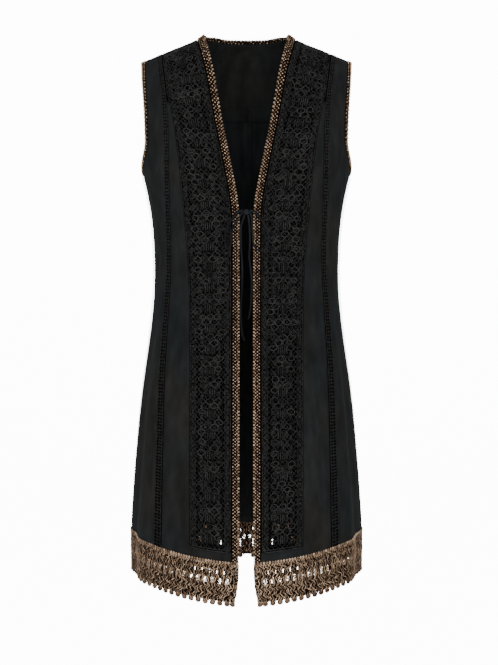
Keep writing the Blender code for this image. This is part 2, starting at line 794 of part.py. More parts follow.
def neck_band(places, left_end, right_end, material):
    """Crowned band that rises from the back neck seam, inside the neck opening."""
    points = [cloth_point(LEFT, turn, drop, 0.0) for turn, drop in places]
    normals = [plain_normal(turn, drop) for turn, drop in places]
    outer = []
    inner = []
    for i, point in enumerate(points):
        before = points[max(0, i - 1)]
        after = points[min(len(points) - 1, i + 1)]
        across = normals[i].cross(after - before).normalized()
        if i == 0:
            across = left_end.normalized()
        if i == len(points) - 1:
            across = right_end.normalized()
        shares = (1.0, 0.5, 0.0)
        lifts = (CROCHET, CROCHET + EDGING_CROWN, CROCHET)
        starts = [point + across * (HALF_GAP + NECK_EDGING_WIDTH * share) for share in shares]
        outer.append([start + normals[i] * lift for start, lift in zip(starts, lifts)])
        inner.append(starts)
    outer = [list(column) for column in zip(*outer)]
    inner = [list(column) for column in zip(*inner)]
    return Wall(outer, inner).build("neck_edging", material)


def armhole_edging(side, material):
    """Bronze edging round one armhole, as one closed band."""
    drops = armhole_drops()
    front = [(armhole_turn(ARMHOLE_FRONT, drop, True), drop) for drop in drops]
    back = [(armhole_turn(ARMHOLE_BACK, drop, False), drop) for drop in drops[1:-1]]
    places = front + back[::-1]
    return band(f"armhole_edging_{SIDE_LETTERS[side]}", side, places, ARMHOLE_EDGING_WIDTH, material,
                is_ring=True)


def turns_by_length(start, end, lengths):
    """Turns at given lengths along the hem, measured from the start turn."""
    level_drop = drop_at((LACE_GAP_TOP + LACE_GAP_FOOT) / 2)
    last = HEM_LENGTH_STEPS - 1
    turns = even_values(start, end, HEM_LENGTH_STEPS)
    points = [plain_point(turn, level_drop) for turn in turns]
    reached = [0.0]
    for i in range(HEM_LENGTH_STEPS):
        reached.append(reached[-1] + (points[i + 1] - points[i]).length)
    found = []
    for length in lengths:
        i = next((k for k in range(HEM_LENGTH_STEPS) if reached[k + 1] >= length), last)
        share = (length - reached[i]) / (reached[i + 1] - reached[i])
        found.append(turns[i] + (turns[i + 1] - turns[i]) * share)
    return found, reached[-1]


def hem_lace(side, is_front, material):
    """Quarter of the hem lace, with its row of gaps cut through and a picot under each bar."""
    if is_front:
        start = front_turn(read_table(LACE_FRONT_EDGE, "level", "across", LACE_TOP), drop_at(LACE_TOP))
        end = 0.0
        first_bar = LACE_FRONT_BAR
    else:
        start = 0.0
        end = math.pi / 2
        first_bar = (LACE_PITCH - LACE_GAP_WIDTH) / 2
    total = turns_by_length(start, end, [0.0])[1]
    last_bar = (LACE_PITCH - LACE_GAP_WIDTH) / 2
    count = round((total - first_bar - last_bar + LACE_PITCH - LACE_GAP_WIDTH) / LACE_PITCH)
    pitch = (total - first_bar - last_bar - LACE_GAP_WIDTH) / (count - 1)
    lengths = [HALF_GAP]
    for i in range(count):
        lengths += [first_bar + pitch * i, first_bar + pitch * i + LACE_GAP_WIDTH]
    lengths.append(total - HALF_GAP)
    turns = turns_by_length(start, end, lengths)[0]
    levels = (LACE_TOP - HALF_GAP, LACE_GAP_TOP, LACE_GAP_FOOT, LACE_EDGE, LACE_PICOT_TIP)
    missing = [(1, 1 + 2 * i) for i in range(count)] + [(3, 1 + 2 * i) for i in range(count)]
    rows = []
    for level in levels:
        drop = drop_at(level)
        row = [(turn, drop) for turn in turns]
        if is_front:
            row[0] = (front_turn(read_table(LACE_FRONT_EDGE, "level", "across", level), drop), drop)
        if level == LACE_PICOT_TIP:
            row = [tapered(row, k, drop) for k in range(len(row))]
        rows.append(row)
    name = f"hem_lace_{'front' if is_front else 'back'}_{SIDE_LETTERS[side]}"
    return cloth_wall(name, side, rows, CROCHET, material, missing)


def tapered(row, k, drop):
    """Place at a picot's tip, drawn in towards the middle of its bar."""
    turn = row[k][0]
    inwards = 1 if k % 2 == 0 else -1
    return turn + inwards * turn_step(turn, drop, LACE_PICOT_TAPER), drop


def smooth_route(points, step):
    """Points a step apart on a smooth curve through the route's own points."""
    points = [Vector(point) for point in points]
    padded = [points[0] * 2 - points[1]] + points + [points[-1] * 2 - points[-2]]
    fine = []
    for i in range(1, len(padded) - 2):
        before, start, end, after = padded[i - 1:i + 3]
        for k in range(CURVE_PARTS):
            t = k / CURVE_PARTS
            fine.append(
                start * (2 - 5 * t**2 + 3 * t**3) / 2
                + before * (-t + 2 * t**2 - t**3) / 2
                + end * (t + 4 * t**2 - 3 * t**3) / 2
                + after * (-(t**2) + t**3) / 2
            )
    fine.append(points[-1])
    reached = [0.0]
    for i in range(len(fine) - 1):
        reached.append(reached[-1] + (fine[i + 1] - fine[i]).length)
    count = max(4, round(reached[-1] / step))
    route = []
    for length in even_values(0.0, reached[-1], count):
        i = next((k for k in range(len(fine) - 1) if reached[k + 1] >= length), len(fine) - 2)
        share = (length - reached[i]) / (reached[i + 1] - reached[i])
        route.append(fine[i].lerp(fine[i + 1], share))
    return route


def tie_lace(name, material):
    """One stretch of the suede lace, as a tube along its route."""
    curve = bpy.data.curves.new(name, "CURVE")
    curve.dimensions = "3D"
    curve.bevel_depth = LACE_CORD_RADIUS
    curve.bevel_resolution = CORD_BEVEL_RESOLUTION
    curve.use_fill_caps = True
    route = smooth_route(TIE_ROUTES[name], CORD_POINT_STEP)
    spline = curve.splines.new("POLY")
    spline.points.add(len(route) - 1)
    for point, place in zip(spline.points, route):
        point.co = (*place, 1.0)
    curve.materials.append(material)
    thing = bpy.data.objects.new(name, curve)
    bpy.context.collection.objects.link(thing)
    return thing


def tie_knot(material):
    """Knot of the bow, a rounded lump in front of the lace that spans the gap."""
    mesh = bpy.data.meshes.new("tie_knot")
    shape = bmesh.new()
    sizes = Matrix.Diagonal((*KNOT_HALF_SIZES, 1.0))
    bmesh.ops.create_uvsphere(
        shape, u_segments=KNOT_SEGMENTS, v_segments=KNOT_RINGS, radius=1.0, matrix=sizes
    )
    shape.to_mesh(mesh)
    shape.free()
    mesh.materials.append(material)
    thing = bpy.data.objects.new("tie_knot", mesh)
    thing.location = KNOT_CENTRE
    bpy.context.collection.objects.link(thing)
    return thing


def build_vest():
    """All pieces of the vest."""
    suede = make_material(BLACK_SUEDE)
    black = make_material(BLACK_YARN)
    bronze = make_material(BRONZE_YARN)
    for side in (LEFT, RIGHT):
        front_panel(side, black)
        front_gore(side, suede)
        front_insertion(side, black)
        side_front(side, suede)
        front_hem_band(side, suede)
        side_braid(side, bronze)
        back_panel(side, suede)
        front_edging(side, bronze)
        armhole_edging(side, bronze)
        hem_lace(side, True, bronze)
        hem_lace(side, False, bronze)
    back_yoke(suede)
    neck_edging(bronze)
    tie_knot(suede)
    for name in TIE_ROUTES:
        tie_lace(name, suede)


clear_scene()
build_vest()
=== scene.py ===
"""Looks of the long suede vest: napped suede, black openwork crochet, bronze crochet and a suede tie.

Metres, +Z up. The front looks towards -Y and the wearer's left is +X. A place on the cloth is a turn
round the body (-90 degrees centre front, 0 side seam, 90 centre back) and a drop, the distance down
the cloth from the shoulder seam.
"""

import logging
import math
from collections.abc import Callable, Sequence
from dataclasses import dataclass, field
from enum import Enum

import bpy
import numpy as np
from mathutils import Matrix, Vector

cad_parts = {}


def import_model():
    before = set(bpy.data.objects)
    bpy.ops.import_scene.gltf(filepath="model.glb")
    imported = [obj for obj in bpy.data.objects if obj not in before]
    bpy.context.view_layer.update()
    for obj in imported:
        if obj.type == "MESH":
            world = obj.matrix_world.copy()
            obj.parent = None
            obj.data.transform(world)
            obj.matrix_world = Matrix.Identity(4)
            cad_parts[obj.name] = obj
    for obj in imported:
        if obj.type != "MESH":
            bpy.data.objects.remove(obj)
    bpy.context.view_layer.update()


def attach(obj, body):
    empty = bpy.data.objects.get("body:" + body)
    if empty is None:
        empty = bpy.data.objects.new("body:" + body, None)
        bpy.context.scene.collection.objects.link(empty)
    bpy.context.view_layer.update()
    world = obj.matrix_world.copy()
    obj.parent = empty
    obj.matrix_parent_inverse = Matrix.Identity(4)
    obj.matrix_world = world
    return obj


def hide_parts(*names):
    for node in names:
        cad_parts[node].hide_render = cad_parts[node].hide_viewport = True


Array = np.ndarray
Colour = tuple[float, float, float]
Place = tuple[float, float, float]
PatternRows = tuple[tuple[float, tuple[float, ...]], ...]
Socket = bpy.types.NodeSocket
Thing = bpy.types.Object
Material = bpy.types.Material
# Half of the gap at a seam, and how far a band starts inside its seam
HALF_SEAM = 0.00015
BAND_TUCK = 0.0006
# How much of a shell's thickness its edge loses, and how far in it does
EDGE_ROUNDING = 0.45
EDGE_REACH = 0.0015
log = logging.getLogger("vest")


class Side(Enum):
    """The wearer's side that a piece belongs to."""

    LEFT = 1
    RIGHT = -1

    @property
    def letter(self) -> str:
        """Letter that ends the names of this side's pieces."""
        return self.name[0]


class Slot(Enum):
    """Material slots of the record."""

    SUEDE = "suede"
    BLACK = "black_crochet"
    BRONZE = "bronze_crochet"
    LACE = "suede_lace"


@dataclass(frozen=True)
class Profile:
    """Smooth curve through a few rows of (level, value)."""

    rows: tuple[tuple[float, float], ...]

    def at(self, level: Array | float) -> Array:
        """Read the curve.

        Args:
            level: Levels to read it at, in metres.

        Returns:
            The values at those levels.
        """
        table = np.array(sorted(self.rows))
        keys, values = table[:, 0], table[:, 1]
        slopes = np.diff(values) / np.diff(keys)
        place = np.clip(level, keys[0], keys[-1])
        row = np.clip(np.searchsorted(keys, place) - 1, 0, len(keys) - 2)
        start_slope = (np.concatenate((slopes[:1], slopes))[row] + slopes[row]) / 2
        end_slope = (slopes[row] + np.concatenate((slopes, slopes[-1:]))[row + 1]) / 2
        width = keys[row + 1] - keys[row]
        share = (place - keys[row]) / width
        rest = 1 - share
        return (
            values[row] * (1 + 2 * share) * rest**2
            + start_slope * width * share * rest**2
            + values[row + 1] * share**2 * (3 - 2 * share)
            - end_slope * width * share**2 * rest
        )


def smooth_step(start: float, end: float, value: Array | float) -> Array:
    """0 at start, 1 at end and level at both."""
    share = np.clip((np.asarray(value) - start) / (end - start), 0.0, 1.0)
    return share * share * (3 - 2 * share)


def unit(vectors: Array) -> Array:
    """Vectors scaled to a length of 1."""
    return vectors / np.maximum(np.linalg.norm(vectors, axis=-1, keepdims=True), 1e-12)


def circle(steps: int) -> Array:
    """Even angles once round."""
    return np.linspace(0, 2 * math.pi, steps, endpoint=False)


def grey(level: float) -> Colour:
    """Grey of a level."""
    return (level, level, level)


SECTIONS = (
    (0.040, 0.2090, 0.092, 0.103), (0.000, 0.2080, 0.092, 0.103), (-0.050, 0.2060, 0.096, 0.106),
    (-0.120, 0.2010, 0.106, 0.110), (-0.200, 0.1885, 0.124, 0.110), (-0.234, 0.1800, 0.128, 0.107),
    (-0.270, 0.1720, 0.128, 0.103), (-0.320, 0.1650, 0.121, 0.098), (-0.385, 0.1620, 0.112, 0.095),
    (-0.430, 0.1626, 0.113, 0.101), (-0.470, 0.1657, 0.117, 0.109), (-0.520, 0.1713, 0.125, 0.120),
    (-0.580, 0.1793, 0.135, 0.131), (-0.640, 0.1857, 0.143, 0.140), (-0.710, 0.1910, 0.151, 0.149),
    (-0.800, 0.1969, 0.158, 0.157), (-0.875, 0.2006, 0.163, 0.162), (-0.960, 0.1998, 0.166, 0.165),
)


def profile_of(column: int) -> Profile:
    """Profile of one column of the sections: level, half width, front depth and back depth."""
    return Profile(tuple((row[0], row[column]) for row in SECTIONS))


@dataclass(frozen=True)
class Fold:
    """Soft fold that grows from the waist to the hem. Its turn and spread are in degrees."""

    side: Side
    turn: float
    spread: float
    height: float
    top: float
    full: float


@dataclass(frozen=True)
class Crease:
    """Short soft trough or ridge in the suede. Turn, spread and lean are in degrees."""

    side: Side
    turn: float
    level: float
    length: float
    spread: float
    height: float
    lean: float = 0.0


@dataclass
class Patch:
    """Lattice of points and normals on the cloth: rows run down it and columns across it."""

    points: Array
    normals: Array

    @property
    def widths(self) -> Array:
        """Width of the patch along each row."""
        return np.linalg.norm(np.diff(self.points, axis=1), axis=-1).sum(axis=1)

    @property
    def length(self) -> float:
        """Mean length down the patch."""
        return float(np.linalg.norm(np.diff(self.points, axis=0), axis=-1).sum(axis=0).mean())

    @property
    def area(self) -> float:
        """Area of the patch."""
        return float(self.widths.mean() * self.length)

    def at(self, s: Array, t: Array, lift: Array | float = 0.0) -> tuple[Array, Array]:
        """Read the patch between its lattice points.

        Args:
            s: Shares across, 0 to 1.
            t: Shares down, 0 to 1.
            lift: Height above the cloth's inner face.

        Returns:
            Points and normals.
        """
        s, t, lift = np.broadcast_arrays(s, t, lift)
        rows, columns = self.points.shape[:2]
        i = np.clip(t, 0, 1) * (rows - 1)
        j = np.clip(s, 0, 1) * (columns - 1)
        i0 = np.clip(i.astype(int), 0, rows - 2)
        j0 = np.clip(j.astype(int), 0, columns - 2)
        u = (j - j0)[..., None]
        v = (i - i0)[..., None]

        def blend(grid: Array) -> Array:
            """Mix the four lattice points round each place."""
            upper = grid[i0, j0] * (1 - u) + grid[i0, j0 + 1] * u
            lower = grid[i0 + 1, j0] * (1 - u) + grid[i0 + 1, j0 + 1] * u
            return upper * (1 - v) + lower * v

        normals = unit(blend(self.normals))
        return blend(self.points) + normals * lift[..., None], normals

    def place(self, x: Array, y: Array, lift: Array | float, anchor: float = 0.0) -> tuple[Array, Array]:
        """Read the patch at real distances.

        Args:
            x: Metres across, from the column at the anchor.
            y: Metres down from the first row.
            lift: Height above the cloth's inner face.
            anchor: Share across at which x is 0.

        Returns:
            Points and normals.
        """
        t = np.asarray(y) / self.length
        width = np.interp(np.clip(t, 0, 1), np.linspace(0, 1, len(self.widths)), self.widths)
        return self.at(anchor + np.asarray(x) / width, t, lift)


@dataclass(frozen=True)
class ClothForm:
    """Form of the whole vest, filled out and hollow, as its solids have it."""

    section_power: float = 2.3
    shoulder_round: float = 0.090
    slope_ends: float = 0.150
    hem_rise: float = 0.028
    hem_rise_power: float = 1.5
    hem_rise_from: float = -0.600
    lace_top: float = -0.877
    armhole_round_top: float = -0.166
    armhole_bottom: float = -0.226
    side_braid_half: float = 0.006
    edging_width: float = 0.012
    search_steps: int = 36
    half_width: Profile = profile_of(1)
    front_depth: Profile = profile_of(2)
    back_depth: Profile = profile_of(3)
    shoulder: Profile = Profile((
        (0.000, 0.0440), (0.010, 0.0438), (0.040, 0.0388), (0.060, 0.0345), (0.072, 0.0275),
        (0.085, 0.0178), (0.130, -0.0015), (0.178, -0.0205), (0.210, -0.0330),
    ))
    front_edge: Profile = Profile((
        (0.030, 0.0770), (0.000, 0.0745), (-0.030, 0.0675), (-0.067, 0.0570), (-0.164, 0.0357),
        (-0.230, 0.0224), (-0.268, 0.0155), (-0.300, 0.0125), (-0.340, 0.0123), (-0.960, 0.0123),
    ))
    panel_seam: Profile = Profile((
        (-0.020, 0.1510), (-0.092, 0.1362), (-0.120, 0.1290), (-0.160, 0.1215), (-0.272, 0.1090),
        (-0.384, 0.0998), (-0.510, 0.0967), (-0.775, 0.0953), (-0.880, 0.0945),
    ))
    insertion_centre: Profile = Profile((
        (0.030, 0.1560), (0.000, 0.1540), (-0.032, 0.1490), (-0.098, 0.1405), (-0.161, 0.1370),
        (-0.254, 0.1348), (-0.385, 0.1328), (-0.464, 0.1370), (-0.568, 0.1430), (-0.692, 0.1462),
        (-0.880, 0.1492),
    ))
    insertion_half: Profile = Profile((
        (0.000, 0.0045), (-0.250, 0.0040), (-0.450, 0.0042), (-0.700, 0.0060), (-0.880, 0.0070),
    ))
    armhole_front: Profile = Profile((
        (0.010, 0.1790), (0.000, 0.1780), (-0.050, 0.1745), (-0.100, 0.1712), (-0.150, 0.1695),
        (-0.240, 0.1700),
    ))
    armhole_back: Profile = Profile((
        (0.010, 0.1790), (0.000, 0.1780), (-0.050, 0.1735), (-0.100, 0.1705), (-0.150, 0.1690),
        (-0.240, 0.1700),
    ))
    lace_front_edge: Profile = Profile((
        (-0.866, 0.0123), (-0.890, 0.0125), (-0.910, 0.0140), (-0.931, 0.0175), (-0.951, 0.0225),
    ))
    folds: tuple[Fold, ...] = (
        *(Fold(Side.LEFT, *row) for row in (
            (-34.0, 5.0, 0.0030, -0.30, -0.62), (-23.0, 4.0, -0.0026, -0.36, -0.70),
            (-10.0, 5.0, 0.0028, -0.40, -0.76), (16.0, 6.0, -0.0036, -0.36, -0.72),
            (36.0, 7.0, 0.0050, -0.34, -0.68), (57.0, 7.0, -0.0044, -0.42, -0.74),
            (76.0, 6.0, 0.0036, -0.46, -0.80),
        )),
        *(Fold(Side.RIGHT, *row) for row in (
            (-33.0, 5.5, 0.0034, -0.34, -0.66), (-21.0, 4.5, -0.0030, -0.32, -0.68),
            (-9.0, 4.5, 0.0024, -0.44, -0.78), (14.0, 5.0, -0.0030, -0.40, -0.74),
            (32.0, 7.0, 0.0046, -0.32, -0.70), (54.0, 6.5, -0.0050, -0.38, -0.72),
            (73.0, 6.0, 0.0040, -0.44, -0.78),
        )),
    )

    @property
    def shoulder_turn(self) -> float:
        """Drop at which the cloth has turned over the shoulder."""
        return self.shoulder_round * math.pi / 2

    def level_at(self, drop: Array | float) -> Array:
        """Height of the cloth below the shoulder line at a drop."""
        drop = np.asarray(drop, float)
        angle = np.minimum(drop, self.shoulder_turn) / self.shoulder_round
        rounded = -self.shoulder_round * (1 - np.cos(angle))
        return np.where(drop < self.shoulder_turn, rounded, self.shoulder_turn - self.shoulder_round - drop)

    def drop_at(self, level: float) -> float:
        """Drop at which the cloth reaches a level."""
        if level > -self.shoulder_round:
            return self.shoulder_round * math.acos(1 + level / self.shoulder_round)
        return self.shoulder_turn - self.shoulder_round - level

    def cover(self, drop: Array | float) -> Array:
        """Share of the full depth that the cloth has reached below the shoulder seam."""
        return np.sin(np.minimum(np.asarray(drop) / self.shoulder_round, math.pi / 2))

    def plain(self, turn: Array, drop: Array) -> Array:
        """Points of the inner face without folds, on the left side.

        Args:
            turn: Turns round the body.
            drop: Drops from the shoulder seam, of the same shape.

        Returns:
            Points, with one more axis.
        """
        level = self.level_at(drop)
        across, along = np.cos(turn), np.sin(turn)
        power = self.section_power
        size = (np.abs(across) ** power + np.abs(along) ** power) ** (-1 / power)
        depth = np.where(along < 0, self.front_depth.at(level), self.back_depth.at(level))
        x = self.half_width.at(level) * across * size
        y = depth * along * size * self.cover(drop)
        slope = self.shoulder.at(np.abs(x)) * (1 - smooth_step(0.0, self.slope_ends, -level))
        outward = np.abs(across * size) ** self.hem_rise_power
        rise = self.hem_rise * outward * smooth_step(self.hem_rise_from, self.lace_top, level)
        return np.stack((x, y, level + slope + rise), axis=-1)

    def normal(self, turn: Array, drop: Array) -> Array:
        """Outward normals on the left side."""
        step = 0.002
        along = self.plain(turn + step, drop) - self.plain(turn - step, drop)
        upper = np.maximum(0.0, drop - step)
        down = self.plain(turn, upper + 2 * step) - self.plain(turn, upper)
        return unit(np.cross(down, along))

    def surface(self, side: Side, turn: Array, drop: Array) -> tuple[Array, Array]:
        """Inner face with its folds, on either side.

        Args:
            side: The wearer's side.
            turn: Turns round the body.
            drop: Drops from the shoulder seam.

        Returns:
            Points and outward normals.
        """
        turn, drop = np.broadcast_arrays(np.asarray(turn, float), np.asarray(drop, float))
        normal = self.normal(turn, drop)
        level = self.level_at(drop)
        degrees = np.degrees(turn)
        height = np.zeros_like(turn)
        for fold in self.folds:
            if fold.side is side:
                reach = np.exp(-(((degrees - fold.turn) / fold.spread) ** 2))
                height = height + fold.height * reach * smooth_step(fold.top, fold.full, level)
        points = self.plain(turn, drop) + normal * height[..., None]
        mirror = np.array((side.value, 1.0, 1.0))
        return points * mirror, normal * mirror

    def find_turn(self, drop: Array, holds: Callable[[Array], Array], low: float, high: float) -> Array:
        """Turns at which a test of the points first holds."""
        drop = np.asarray(drop, float)
        lows = np.full(drop.shape, low)
        highs = np.full(drop.shape, high)
        for _ in range(self.search_steps):
            middle = (lows + highs) / 2
            is_past = holds(self.plain(middle, drop))
            highs = np.where(is_past, middle, highs)
            lows = np.where(is_past, lows, middle)
        return (lows + highs) / 2

    def front_turn(self, across: Array | float, drop: Array) -> Array:
        """Turn on the front at a distance from the centre plane."""
        return self.find_turn(drop, lambda p: p[..., 0] >= across, -math.pi / 2, 0.0)

    def back_turn(self, across: Array | float, drop: Array) -> Array:
        """Turn on the back at a distance from the centre plane, past 90 degrees on the right."""
        return self.find_turn(drop, lambda p: p[..., 0] <= across, 0.0, math.pi)

    def edge_seam(self, drop: Array) -> Array:
        """Seam between the front edging and the crochet panel."""
        return self.front_turn(self.front_edge.at(self.level_at(drop)) + self.edging_width, drop)

    def insertion_inner(self, drop: Array) -> Array:
        """Insertion's seam towards the centre front."""
        level = self.level_at(drop)
        return self.front_turn(self.insertion_centre.at(level) - self.insertion_half.at(level), drop)

    def insertion_outer(self, drop: Array) -> Array:
        """Insertion's seam towards the side."""
        level = self.level_at(drop)
        return self.front_turn(self.insertion_centre.at(level) + self.insertion_half.at(level), drop)

    def panel_outer(self, drop: Array) -> Array:
        """Crochet panel's outer seam."""
        seam = self.front_turn(self.panel_seam.at(self.level_at(drop)), drop)
        return np.minimum(seam, self.insertion_inner(drop))

    def side_turn(self, drop: Array) -> Array:
        """Front edge of the side braid."""
        return self.find_turn(drop, lambda p: p[..., 1] >= -self.side_braid_half, -math.pi / 2, 0.0)

    def armhole_turn(self, drop: Array, is_front: bool) -> Array:
        """Edge of the armhole, which closes to the side seam at its bottom."""
        level = self.level_at(drop)
        if is_front:
            open_turn = self.front_turn(self.armhole_front.at(level), drop)
        else:
            open_turn = self.back_turn(self.armhole_back.at(level), drop)
        depth = (self.armhole_round_top - level) / (self.armhole_round_top - self.armhole_bottom)
        return open_turn * np.sqrt(1 - np.clip(depth, 0.0, 1.0) ** 2)

    def front_outer(self, drop: Array) -> Array:
        """Side front's outer edge: the armhole, then the side braid."""
        level = self.level_at(drop)
        armhole = self.armhole_turn(drop, True)
        braid = self.side_turn(drop)
        lower = np.where(level < self.armhole_bottom, braid, np.minimum(armhole, braid))
        return np.where(level > self.armhole_round_top, armhole, lower)

    def back_outer(self, drop: Array) -> Array:
        """Back's outer edge: the armhole, then the side braid."""
        level = self.level_at(drop)
        armhole = self.armhole_turn(drop, False)
        braid = -self.side_turn(drop)
        lower = np.where(level < self.armhole_bottom, braid, np.maximum(armhole, braid))
        return np.where(level > self.armhole_round_top, armhole, lower)

    def patch(
        self,
        side: Side,
        drops: Array,
        inner: Callable[[Array], Array],
        outer: Callable[[Array], Array],
        columns: int,
        gap: float = HALF_SEAM,
    ) -> Patch:
        """Patch between two seams, evenly spaced across and half a seam gap clear of them.

        Args:
            side: The wearer's side.
            drops: Drops of the rows.
            inner: Turn of the first column at each drop.
            outer: Turn of the last column.
            columns: Count of columns.
            gap: Distance kept from each seam, or less than 0 to reach past it.

        Returns:
            The patch.
        """
        drops = np.asarray(drops, float)
        start, end = inner(drops), outer(drops)
        cells, margin = 96, 12
        fine = np.arange(-margin, cells + 1 + margin) / cells
        turns = start[:, None] + (end - start)[:, None] * fine
        points = self.plain(turns, np.broadcast_to(drops[:, None], turns.shape))
        steps = np.linalg.norm(np.diff(points, axis=1), axis=-1)
        reached = np.concatenate((np.zeros((len(drops), 1)), np.cumsum(steps, axis=1)), axis=1)
        most_share = 0.4
        grid = np.empty((len(drops), columns))
        for i, row in enumerate(reached):
            first, last = row[margin], row[-1 - margin]
            clear = min(gap, (last - first) * most_share)
            grid[i] = np.interp(np.linspace(first + clear, last - clear, columns), row, turns[i])
        return Patch(*self.surface(side, grid, np.broadcast_to(drops[:, None], grid.shape)))


def link(thing: Thing) -> Thing:
    """Put an object into the scene."""
    bpy.context.scene.collection.objects.link(thing)
    return thing


def mesh_object(
    name: str, vertices: Array, polygons: list[Array], tones: Array | None = None
) -> Thing:
    """Object of a mesh from arrays.

    Args:
        name: Name of the piece.
        vertices: Points, one row each.
        polygons: Arrays of faces, each with one row of corners for a face.
        tones: A value for each point that the finish reads.

    Returns:
        The linked object.
    """
    mesh = bpy.data.meshes.new(name)
    mesh.vertices.add(len(vertices))
    mesh.vertices.foreach_set("co", np.asarray(vertices, np.float32).ravel())
    corners = np.concatenate([faces.ravel() for faces in polygons])
    sizes = np.concatenate([np.full(len(faces), faces.shape[1]) for faces in polygons])
    mesh.loops.add(len(corners))
    mesh.loops.foreach_set("vertex_index", corners.astype(np.int32))
    mesh.polygons.add(len(sizes))
    mesh.polygons.foreach_set("loop_start", np.concatenate(((0,), np.cumsum(sizes)[:-1])).astype(np.int32))
    mesh.polygons.foreach_set("loop_total", sizes.astype(np.int32))
    mesh.polygons.foreach_set("use_smooth", np.ones(len(sizes), bool))
    if tones is not None:
        attribute = mesh.attributes.new("tone", "FLOAT", "POINT")
        attribute.data.foreach_set("value", np.asarray(tones, np.float32))
    mesh.update(calc_edges=True)
    mesh.validate()
    return link(bpy.data.objects.new(name, mesh))


class Yarn:
    """Batch of yarn strands that becomes one mesh."""

    # Shares of a strand's own random tone and of its painted highlight and shade
    own_share: float = 0.35
    crown_share: float = 0.65

    def __init__(self, radius: float, patch: Patch, sides: int = 5, seed: int = 1) -> None:
        """Start an empty batch.

        Args:
            radius: The yarn's radius.
            patch: Where the strands lie.
            sides: Sides of each strand.
            seed: Seed of the small irregularities.
        """
        self.radius = radius
        self.patch = patch
        self.sides = sides
        self.chance = np.random.default_rng(seed)
        self.vertices: list[Array] = []
        self.polygons: list[Array] = []
        self.tones: list[Array] = []
        self.count = 0

    def strands(
        self,
        paths: Array,
        normals: Array,
        thickness: Array | float = 1.0,
        is_closed: bool = False,
        sides: int | None = None,
        shade: Array | float = 1.0,
    ) -> None:
        """Add strands of the same count of points.

        Args:
            paths: Points, as strand, step and axis.
            normals: The cloth's normals there.
            thickness: Radius of each step as a share of the yarn's.
            is_closed: Whether each strand is a ring.
            sides: Sides of these strands, if not the batch's.
            shade: Share of the full tone that these strands reach.
        """
        sides = sides or self.sides
        strand_count, step_count = paths.shape[:2]
        if is_closed:
            tangents = np.roll(paths, -1, axis=1) - np.roll(paths, 1, axis=1)
        else:
            tangents = np.gradient(paths, axis=1)
        tangents = unit(tangents)
        across = unit(np.cross(tangents, normals))
        up = np.cross(across, tangents)
        radii = np.broadcast_to(np.asarray(thickness, float) * self.radius, (strand_count, step_count))
        angles = circle(sides)
        round_up = np.cos(angles)[:, None] * up[:, :, None, :]
        round_across = np.sin(angles)[:, None] * across[:, :, None, :]
        rings = paths[:, :, None, :] + radii[..., None, None] * (round_up + round_across)
        shape = (strand_count, step_count, sides)
        index = np.arange(math.prod(shape)).reshape(shape) + self.count
        here = index if is_closed else index[:, :-1]
        after = np.roll(index, -1, axis=1) if is_closed else index[:, 1:]
        faces = np.stack((here, np.roll(here, -1, axis=2), np.roll(after, -1, axis=2), after), axis=-1)
        self.polygons.append(faces.reshape(-1, 4))
        if not is_closed:
            self.polygons.append(index[:, 0, ::-1].reshape(-1, sides))
            self.polygons.append(index[:, -1].reshape(-1, sides))
        self.vertices.append(rings.reshape(-1, 3))
        # Painted highlight and shade: a strand is toned lighter on its top and underside, and darker on its
        # flanks and where it thins at its ends
        crown = np.abs(np.cos(angles))[None, None] * (radii / radii.max())[..., None]
        own = self.chance.random((strand_count, 1, 1))
        tone = shade * (self.own_share * own + self.crown_share * crown)
        self.tones.append(np.broadcast_to(tone, shape).ravel())
        self.count += math.prod(shape)

    def build(self, name: str) -> Thing:
        """Mesh object of all the strands."""
        return mesh_object(name, np.concatenate(self.vertices), self.polygons, np.concatenate(self.tones))


def curved(start: Array, end: Array, bend: Array | float, steps: int) -> Array:
    """Flat arcs from start to end.

    Args:
        start: Rows of (x, y) where the strands start.
        end: Rows of (x, y) where they end.
        bend: Sideways bow of the middle.
        steps: Count of points.

    Returns:
        Points, as strand, step and axis.
    """
    start, end = np.asarray(start, float), np.asarray(end, float)
    share = np.linspace(0, 1, steps)[None, :, None]
    line = start[:, None] * (1 - share) + end[:, None] * share
    along = unit(end - start)
    sideways = np.stack((-along[:, 1], along[:, 0]), axis=-1)[:, None]
    bow = np.broadcast_to(np.asarray(bend, float), (len(start),))[:, None, None]
    return line + sideways * bow * np.sin(math.pi * share)


def plump(steps: int, ends: float) -> Array:
    """Thickness of a stitch along its length: full in the middle, thin at its ends."""
    fullness = 0.7
    return ends + (1 - ends) * np.sin(math.pi * np.linspace(0, 1, steps)) ** fullness


